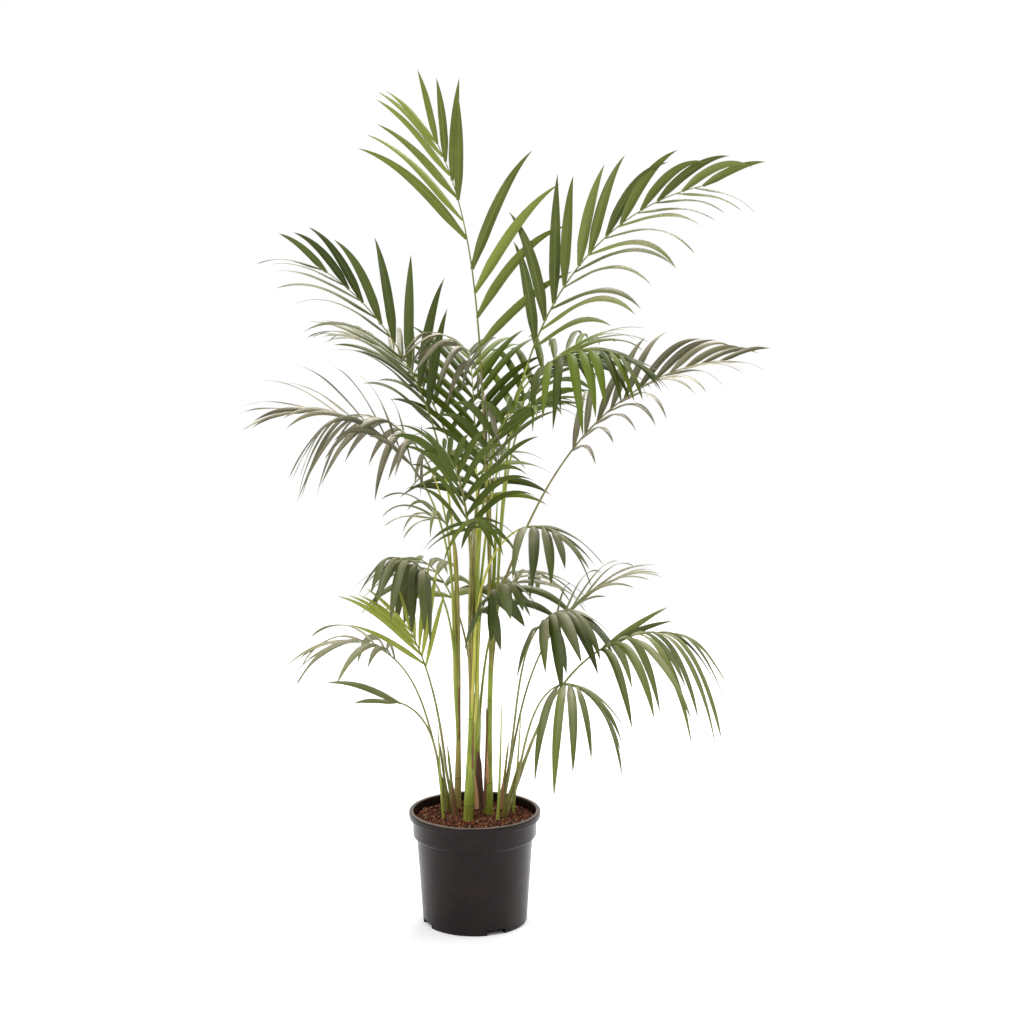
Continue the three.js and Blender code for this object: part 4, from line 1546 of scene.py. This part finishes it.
    def leaflets(self) -> Iterator[Leaflet]:
        """Grow the leaflets, side by side up the rachis, by the same draws as the solids.

        Yields:
            Every leaflet that the rachis still has.
        """
        draw = Draws(self.seed)
        for i in range(self.pairs):
            for side, hand in enumerate((1, -1)):
                even = (i + self.pair_places[side] + draw.about(self.place_jitter)) / self.pairs
                t = 1 - (1 - even) ** self.crowd
                beta = mix(*self.spread, t) + hand * self.skew + draw.about(self.spread_jitter)
                lift = self.lift + draw.about(self.lift_jitter)
                share = self.length_share(t)
                reach = self.leaf[0] * share * draw.between(*self.length_range)
                twist = self.turn[side] + draw.about(self.twist_jitter)
                sag = self.droop * draw.between(*self.sag_range) * reach / self.sag_length
                if self.bare[side][0] <= t < self.bare[side][1]:
                    continue
                u = (self.petiole + self.rachis * min(t, self.last_root)) / self.length
                yield Leaflet(self.place(u), self.facing(u), hand, beta, lift, reach,
                              self.leaf[1] * share ** self.width_power, twist, sag, self.hinge)

    def build(self) -> None:
        """Make the rib and the joined leaflets."""
        self.rib()
        draw = Draws(self.seed + self.blade_run)
        draft = Draft(*self.tone.upper, self.tone.under, DRY_TIP)
        for leaflet in self.leaflets():
            BLADE.add(draft, leaflet, draw)
        draft.piece(
            f"leaflets_{self.name}", self.tone.slot, [f"frond_{self.name}"], self.leaf_crease
        )


# Each row: foot, height, lean, azimuth, radii, spear, then rings, waist and waist_at where
# they differ from the usual ones.
STEMS = {
    "cane_left": StemShape(
        (-34, 72), 380, (1.5, -0.5), 0, (6.8, 4.2), 90, (58, 200)),
    "cane_front": StemShape(
        (-12, -8), 470, (2, 1), 0, (9.2, 4.8), 110, (30, 190)),
    "cane_right": StemShape(
        (24, 35), 480, (0.5, 2.5), 0, (9, 4.8), 120, (60, 215)),
    "cane_back": StemShape(
        (2, 88), 460, (0.5, 4), 80, (8.4, 4.8), 110, (55, 210)),
    "shoot_left_a": StemShape((-51, 47), 110, (5, 7), 180, (6, 4.5), 24, (30,), 0.5, 45),
    "shoot_left_b": StemShape((-38, 30), 110, (5, 6), 170, (6, 4.5), 24, (34,), 0.5, 45),
    "shoot_right_a": StemShape((48, 66), 110, (5, 7), 0, (5.5, 4), 24, (28,), 0.5, 45),
    "shoot_right_b": StemShape((54, 14), 100, (13, 17), 0, (6.5, 5), 20, (26,), 0.5, 45),
    "spike_centre": StemShape((42, -4), 190, (3, 1), 10, (3, 2), 30),
    "spike_left": StemShape((-58, 8), 150, (4, 2), 185, (2.6, 1.8), 26),
    "spike_right": StemShape((70, 46), 165, (6, 3), 0, (2.6, 1.8), 28),
}
AGED_STEMS = ("cane_left", "shoot_right_a")
HUSK = StemShape((8, 63), 92, (3, 4), 250, (9, 5.5), 24, waist=1.0)
STRIPS = (
    SheathStrip("dead_sheath_flap", "dead_sheath", 215, 0, 68, 13, TAN_FLAP),
    SheathStrip("cane_right_strip", "cane_right", 212, 4, 205, 11, BROWN_STRIP),
    SheathStrip("cane_right_flap", "cane_right", 255, 60, 122, 6, TAN_FLAP, curl=4),
    SheathStrip("cane_front_strip", "cane_front", 330, 96, 188, 7, BROWN_STRIP),
    SheathStrip("cane_left_strip", "cane_left", 285, 130, 262, 7, BROWN_STRIP),
    SheathStrip("shoot_left_strip", "shoot_left_b", 280, 0, 60, 8, BROWN_STRIP),
    SheathStrip("shoot_right_strip", "shoot_right_a", 250, 0, 66, 8, TAN_FLAP),
    SheathStrip("cane_back_strip", "cane_back", 80, 30, 190, 10, BROWN_STRIP),
)

# Each row: name, stem, at, azimuth, petiole, rachis, lean, pairs, leaf, tone, seed, then what
# differs from the usual frond.
FRONDS = (
    Frond("top_left", "cane_right", 452, 180, 388, 396, (2, 27), 10, (262, 19), LeafTone.BRIGHT, 3,
          bend=4, roll=-80, skew=-2, lift=8, droop=0.75, spread=(45, 14), fullest=0.35, crowd=1.15,
          turn=(0, 25), bare=((0.45, 0.6), (0, 0.5))),
    Frond("top_right", "cane_right", 460, 350, 390, 450, (3, 80), 12, (222, 20), LeafTone.MID, 5,
          bend=2, roll=65, skew=3, lift=22, droop=1.5, spread=(38, 24), fullest=0.1,
          turn=(-60, 32)),
    Frond("upper_left", "cane_left", 366, 180, 320, 395, (1, 58), 9, (222, 18), LeafTone.DEEP, 7,
          seat=122, roll=-55, lift=18, droop=1.1, spread=(34, 14), turn=(-28, 55),
          bare=((0, 0.06), (0, 0))),
    Frond("arch_left", "cane_right", 420, 185, 238, 290, (0, 104), 10, (165, 13), LeafTone.DUSTY,
          9, seat=235, bend=5.5, droop=3.2, spread=(60, 20), hinge=0.7),
    Frond("left_reach", "cane_left", 322, 190, 284, 306, (2, 100), 9, (196, 12), LeafTone.DUSTY,
          11, seat=225, bend=1.9, roll=-24, lift=18, droop=1.1, spread=(50, 16), turn=(30, -15)),
    Frond("left_low", "cane_left", 268, 186, 376, 236, (1, 130), 9, (205, 14), LeafTone.DUSTY, 13,
          seat=174, bend=3.4, lift=16, droop=2.5, spread=(60, 14), fullest=0.6, hinge=0.65),
    Frond("right_reach", "cane_right", 405, 345, 290, 345, (21, 86), 11, (170, 14), LeafTone.DUSTY,
          15, bend=1.9, roll=30, lift=22, droop=1.8, spread=(52, 20), turn=(-40, 35)),
    Frond("front_right", "cane_front", 440, 318, 398, 226, (4, 112), 10, (172, 17),
          LeafTone.SHADED, 17, bend=2, roll=10, lift=8, droop=2.4, spread=(60, 20), hinge=0.45),
    Frond("front_mid", "cane_front", 348, 311, 252, 92, (8, 108), 4, (148, 19), LeafTone.DEEP, 19,
          seat=292, bend=1.6, lift=8, droop=3, spread=(58, 14), hinge=0.5),
    Frond("front_high", "cane_front", 462, 300, 150, 270, (4, 92), 8, (185, 13), LeafTone.SHADED,
          21, seat=255, spread=(56, 22)),
    Frond("inner_left", "cane_front", 400, 252, 120, 230, (3, 66), 8, (172, 12), LeafTone.SHADED,
          51, bend=1.7, roll=-10, lift=22, droop=1.7, spread=(46, 18)),
    Frond("inner_right", "cane_right", 430, 325, 290, 250, (5, 110), 7, (190, 14), LeafTone.SHADED,
          53, bend=3, roll=10, lift=15, droop=1.8, spread=(54, 20), hinge=0.4),
    Frond("left_thin", "cane_left", 340, 205, 190, 44, (1, 100), 4, (152, 11), LeafTone.MID, 27,
          seat=275, bend=6, lift=15, droop=2.4, spread=(52, 24)),
    Frond("left_mid", "cane_left", 262, 206, 176, 112, (5, 94), 6, (148, 20), LeafTone.HAZY, 22,
          seat=226, bend=2.3, lift=6, droop=5, spread=(64, 20), hinge=0.85),
    Frond("front_low", "cane_front", 262, 325, 112, 122, (0, 104), 5, (108, 26), LeafTone.DEEP, 25,
          seat=355, bend=3, lift=10, droop=6, spread=(62, 24), hinge=0.8),
    Frond("low_right_in", "shoot_right_a", 104, 334, 242, 96, (7, 96), 6, (182, 24), LeafTone.DEEP,
          23, bend=4, droop=3, spread=(66, 16), hinge=0.6),
    Frond("low_right_back", "shoot_right_a", 70, 15, 256, 170, (10, 72), 6, (185, 12),
          LeafTone.PALE, 33, bend=2.2, lift=16, droop=1.6, spread=(34, 14)),
    Frond("low_right_out", "shoot_right_b", 92, 355, 262, 180, (18, 108), 7, (240, 18),
          LeafTone.MID, 29, roll=10, droop=2.3, spread=(62, 10), fullest=0.75, hinge=0.6),
    Frond("low_right_hand", "shoot_right_b", 60, 316, 232, 62, (14, 106), 4, (222, 18),
          LeafTone.MID, 31, bend=3, lift=-8, droop=2.6, spread=(84, 18), hinge=0.4),
    Frond("low_left_arch", "shoot_left_a", 104, 183, 196, 120, (13, 110), 6, (196, 15),
          LeafTone.PALE, 37, bend=2.5, lift=30, droop=2.2, spread=(60, 14), hinge=0.4),
    Frond("low_left_pair", "shoot_left_a", 50, 205, 184, 20, (6, 76), 1, (152, 13), LeafTone.PALE,
          41, bend=2.2, roll=-50, droop=0.8, spread=(10, 8)),
    Frond("low_left_fresh", "shoot_left_b", 104, 170, 170, 85, (7, 28), 5, (195, 10),
          LeafTone.FRESH, 43, bend=1.6, roll=-60, droop=0.5, spread=(36, 14)),
    Frond("back_high", "cane_back", 440, 95, 200, 320, (6, 85), 11, (200, 14), LeafTone.SHADED, 61,
          bend=1.9, lift=18, droop=0.9, spread=(50, 20)),
    Frond("back_left", "cane_back", 430, 138, 250, 360, (8, 92), 10, (195, 14), LeafTone.DEEP, 63,
          lift=18, droop=1.2, spread=(52, 20)),
    Frond("back_right", "cane_back", 420, 48, 260, 370, (8, 96), 10, (195, 14), LeafTone.SHADED,
          65, lift=18, droop=1.3, spread=(52, 20)),
    Frond("back_mid", "cane_back", 350, 92, 200, 300, (10, 112), 8, (190, 17), LeafTone.SHADED, 67,
          bend=1.7, lift=15, droop=1.7, spread=(56, 22), hinge=0.5),
    Frond("back_low_left", "cane_back", 200, 128, 180, 220, (9, 118), 7, (175, 17), LeafTone.MID,
          69, droop=2, spread=(58, 22), hinge=0.5),
    Frond("back_low_right", "cane_back", 170, 62, 200, 200, (10, 120), 7, (175, 17), LeafTone.DEEP,
          71, bend=1.9, droop=2, spread=(58, 22), hinge=0.5),
    Frond("low_right_spray", "shoot_right_b", 76, 3, 284, 24, (19, 62), 1, (150, 12), LeafTone.MID,
          35, seat=40, bend=1.9, roll=70, droop=0.2, spread=(7, 6)),
    Frond("front_belt", "cane_front", 356, 278, 192, 84, (8, 110), 5, (116, 17), LeafTone.SHADED,
          57, seat=222, bend=3.4, lift=10, droop=4, spread=(72, 30), hinge=0.5),
)


class ArecaPalm:
    """The whole plant in its pot."""

    room: float = 0.5

    def build(self) -> None:
        """Build the pot, the mix, the stems and the fronds in turn."""
        NurseryPot().build()
        shapes = {**STEMS, "dead_sheath": HUSK}
        PottingMix([
            (Vector((*shape.foot, 0)), shape.radius(0) + self.room) for shape in shapes.values()
        ]).build()
        for seed, (name, shape) in enumerate(STEMS.items()):
            if name in AGED_STEMS:
                skin, slot = CANE_TAN, "aged_cane_skin"
            elif name.startswith("spike"):
                skin, slot = STALK_SKINS[0], "leaf_bright"
            else:
                skin = SHOOT_GREEN if name.startswith("shoot") else CANE_GREEN
                slot = "cane_skin"
            Stem(name, shape, skin, slot, seed).build()
        DeadSheath(HUSK).build()
        for strip in STRIPS:
            strip.build(shapes[strip.stem])
        for frond in FRONDS:
            frond.build()


@dataclass(frozen=True)
class SoftBox:
    """One studio lamp behind a square diffuser, in metres and watts."""

    name: str
    place: Triple
    size: float
    watts: float
    aim: Triple = (0.0, 0.0, 0.7)

    def build(self) -> None:
        """Hang the lamp and turn it to what it lights."""
        lamp = bpy.data.lights.new(self.name, "AREA")
        lamp.shape, lamp.size, lamp.energy = "SQUARE", self.size, self.watts
        made = show(self.name, lamp)
        made.location = self.place
        made.rotation_mode = "QUATERNION"
        made.rotation_quaternion = (Vector(self.aim) - made.location).to_track_quat("-Z", "Y")


@dataclass(frozen=True)
class Studio:
    """A white studio: pale floor, pale air, three soft boxes and the photograph's view.

    The air is as bright as air_seen to the camera and lights the plant by air_light.
    """

    eye: Triple = (0.068, -3.2, 1.178)
    pitch: float = 7.54
    lens_px: float = 1806.0
    picture_px: float = 1024.0
    sensor: float = 36.0
    floor_half: float = 3.0
    air: str = "#ffffff"
    air_seen: float = 1.0
    air_light: float = 0.76
    boxes: tuple[SoftBox, ...] = (
        SoftBox("key_box", (-1.6, -1.8, 3.2), 1.6, 78),
        SoftBox("top_box", (0.6, 1.6, 3.4), 2.0, 130),
        SoftBox("side_box", (2.6, 0.4, 1.6), 1.6, 22),
    )

    def camera(self) -> None:
        """Stand the camera where the photograph was taken from."""
        seen = bpy.data.cameras.new("photo_camera")
        seen.sensor_width = self.sensor
        seen.lens = self.lens_px / self.picture_px * self.sensor
        made = show("photo_camera", seen)
        made.location = self.eye
        made.rotation_euler = (math.radians(90 - self.pitch), 0, 0)
        bpy.context.scene.camera = made

    def floor(self) -> None:
        """Lay the paper that the pot stands on."""
        half = self.floor_half
        mesh = bpy.data.meshes.new("studio_floor")
        corners = [(-half, -half, 0), (half, -half, 0), (half, half, 0), (-half, half, 0)]
        mesh.from_pydata(corners, [], [(0, 1, 2, 3)])
        mesh.materials.append(PAPER.material())
        show("studio_floor", mesh)

    def build(self) -> None:
        """Set the air, floor, lamps and camera, and show colours as plain sRGB."""
        bpy.context.scene.view_settings.view_transform = "Standard"
        world = bpy.data.worlds.new("studio_air")
        world.use_nodes = True
        tree = world.node_tree
        air = tree.nodes["Background"]
        air.inputs["Color"].default_value = linear(self.air)
        seen = add_node(tree, "ShaderNodeLightPath").outputs["Is Camera Ray"]
        strength = add_node(tree, "ShaderNodeMapRange", sockets={
            "Value": seen, "To Min": self.air_light, "To Max": self.air_seen,
        })
        tree.links.new(strength.outputs["Result"], air.inputs["Strength"])
        bpy.context.scene.world = world
        self.floor()
        for box in self.boxes:
            box.build()
        self.camera()


def main() -> None:
    """Build and dress the plant and set the studio round it."""
    logging.basicConfig(level=logging.INFO, format="%(name)s %(message)s")
    ArecaPalm().build()
    Studio().build()


if __name__ == "__main__":
    main()
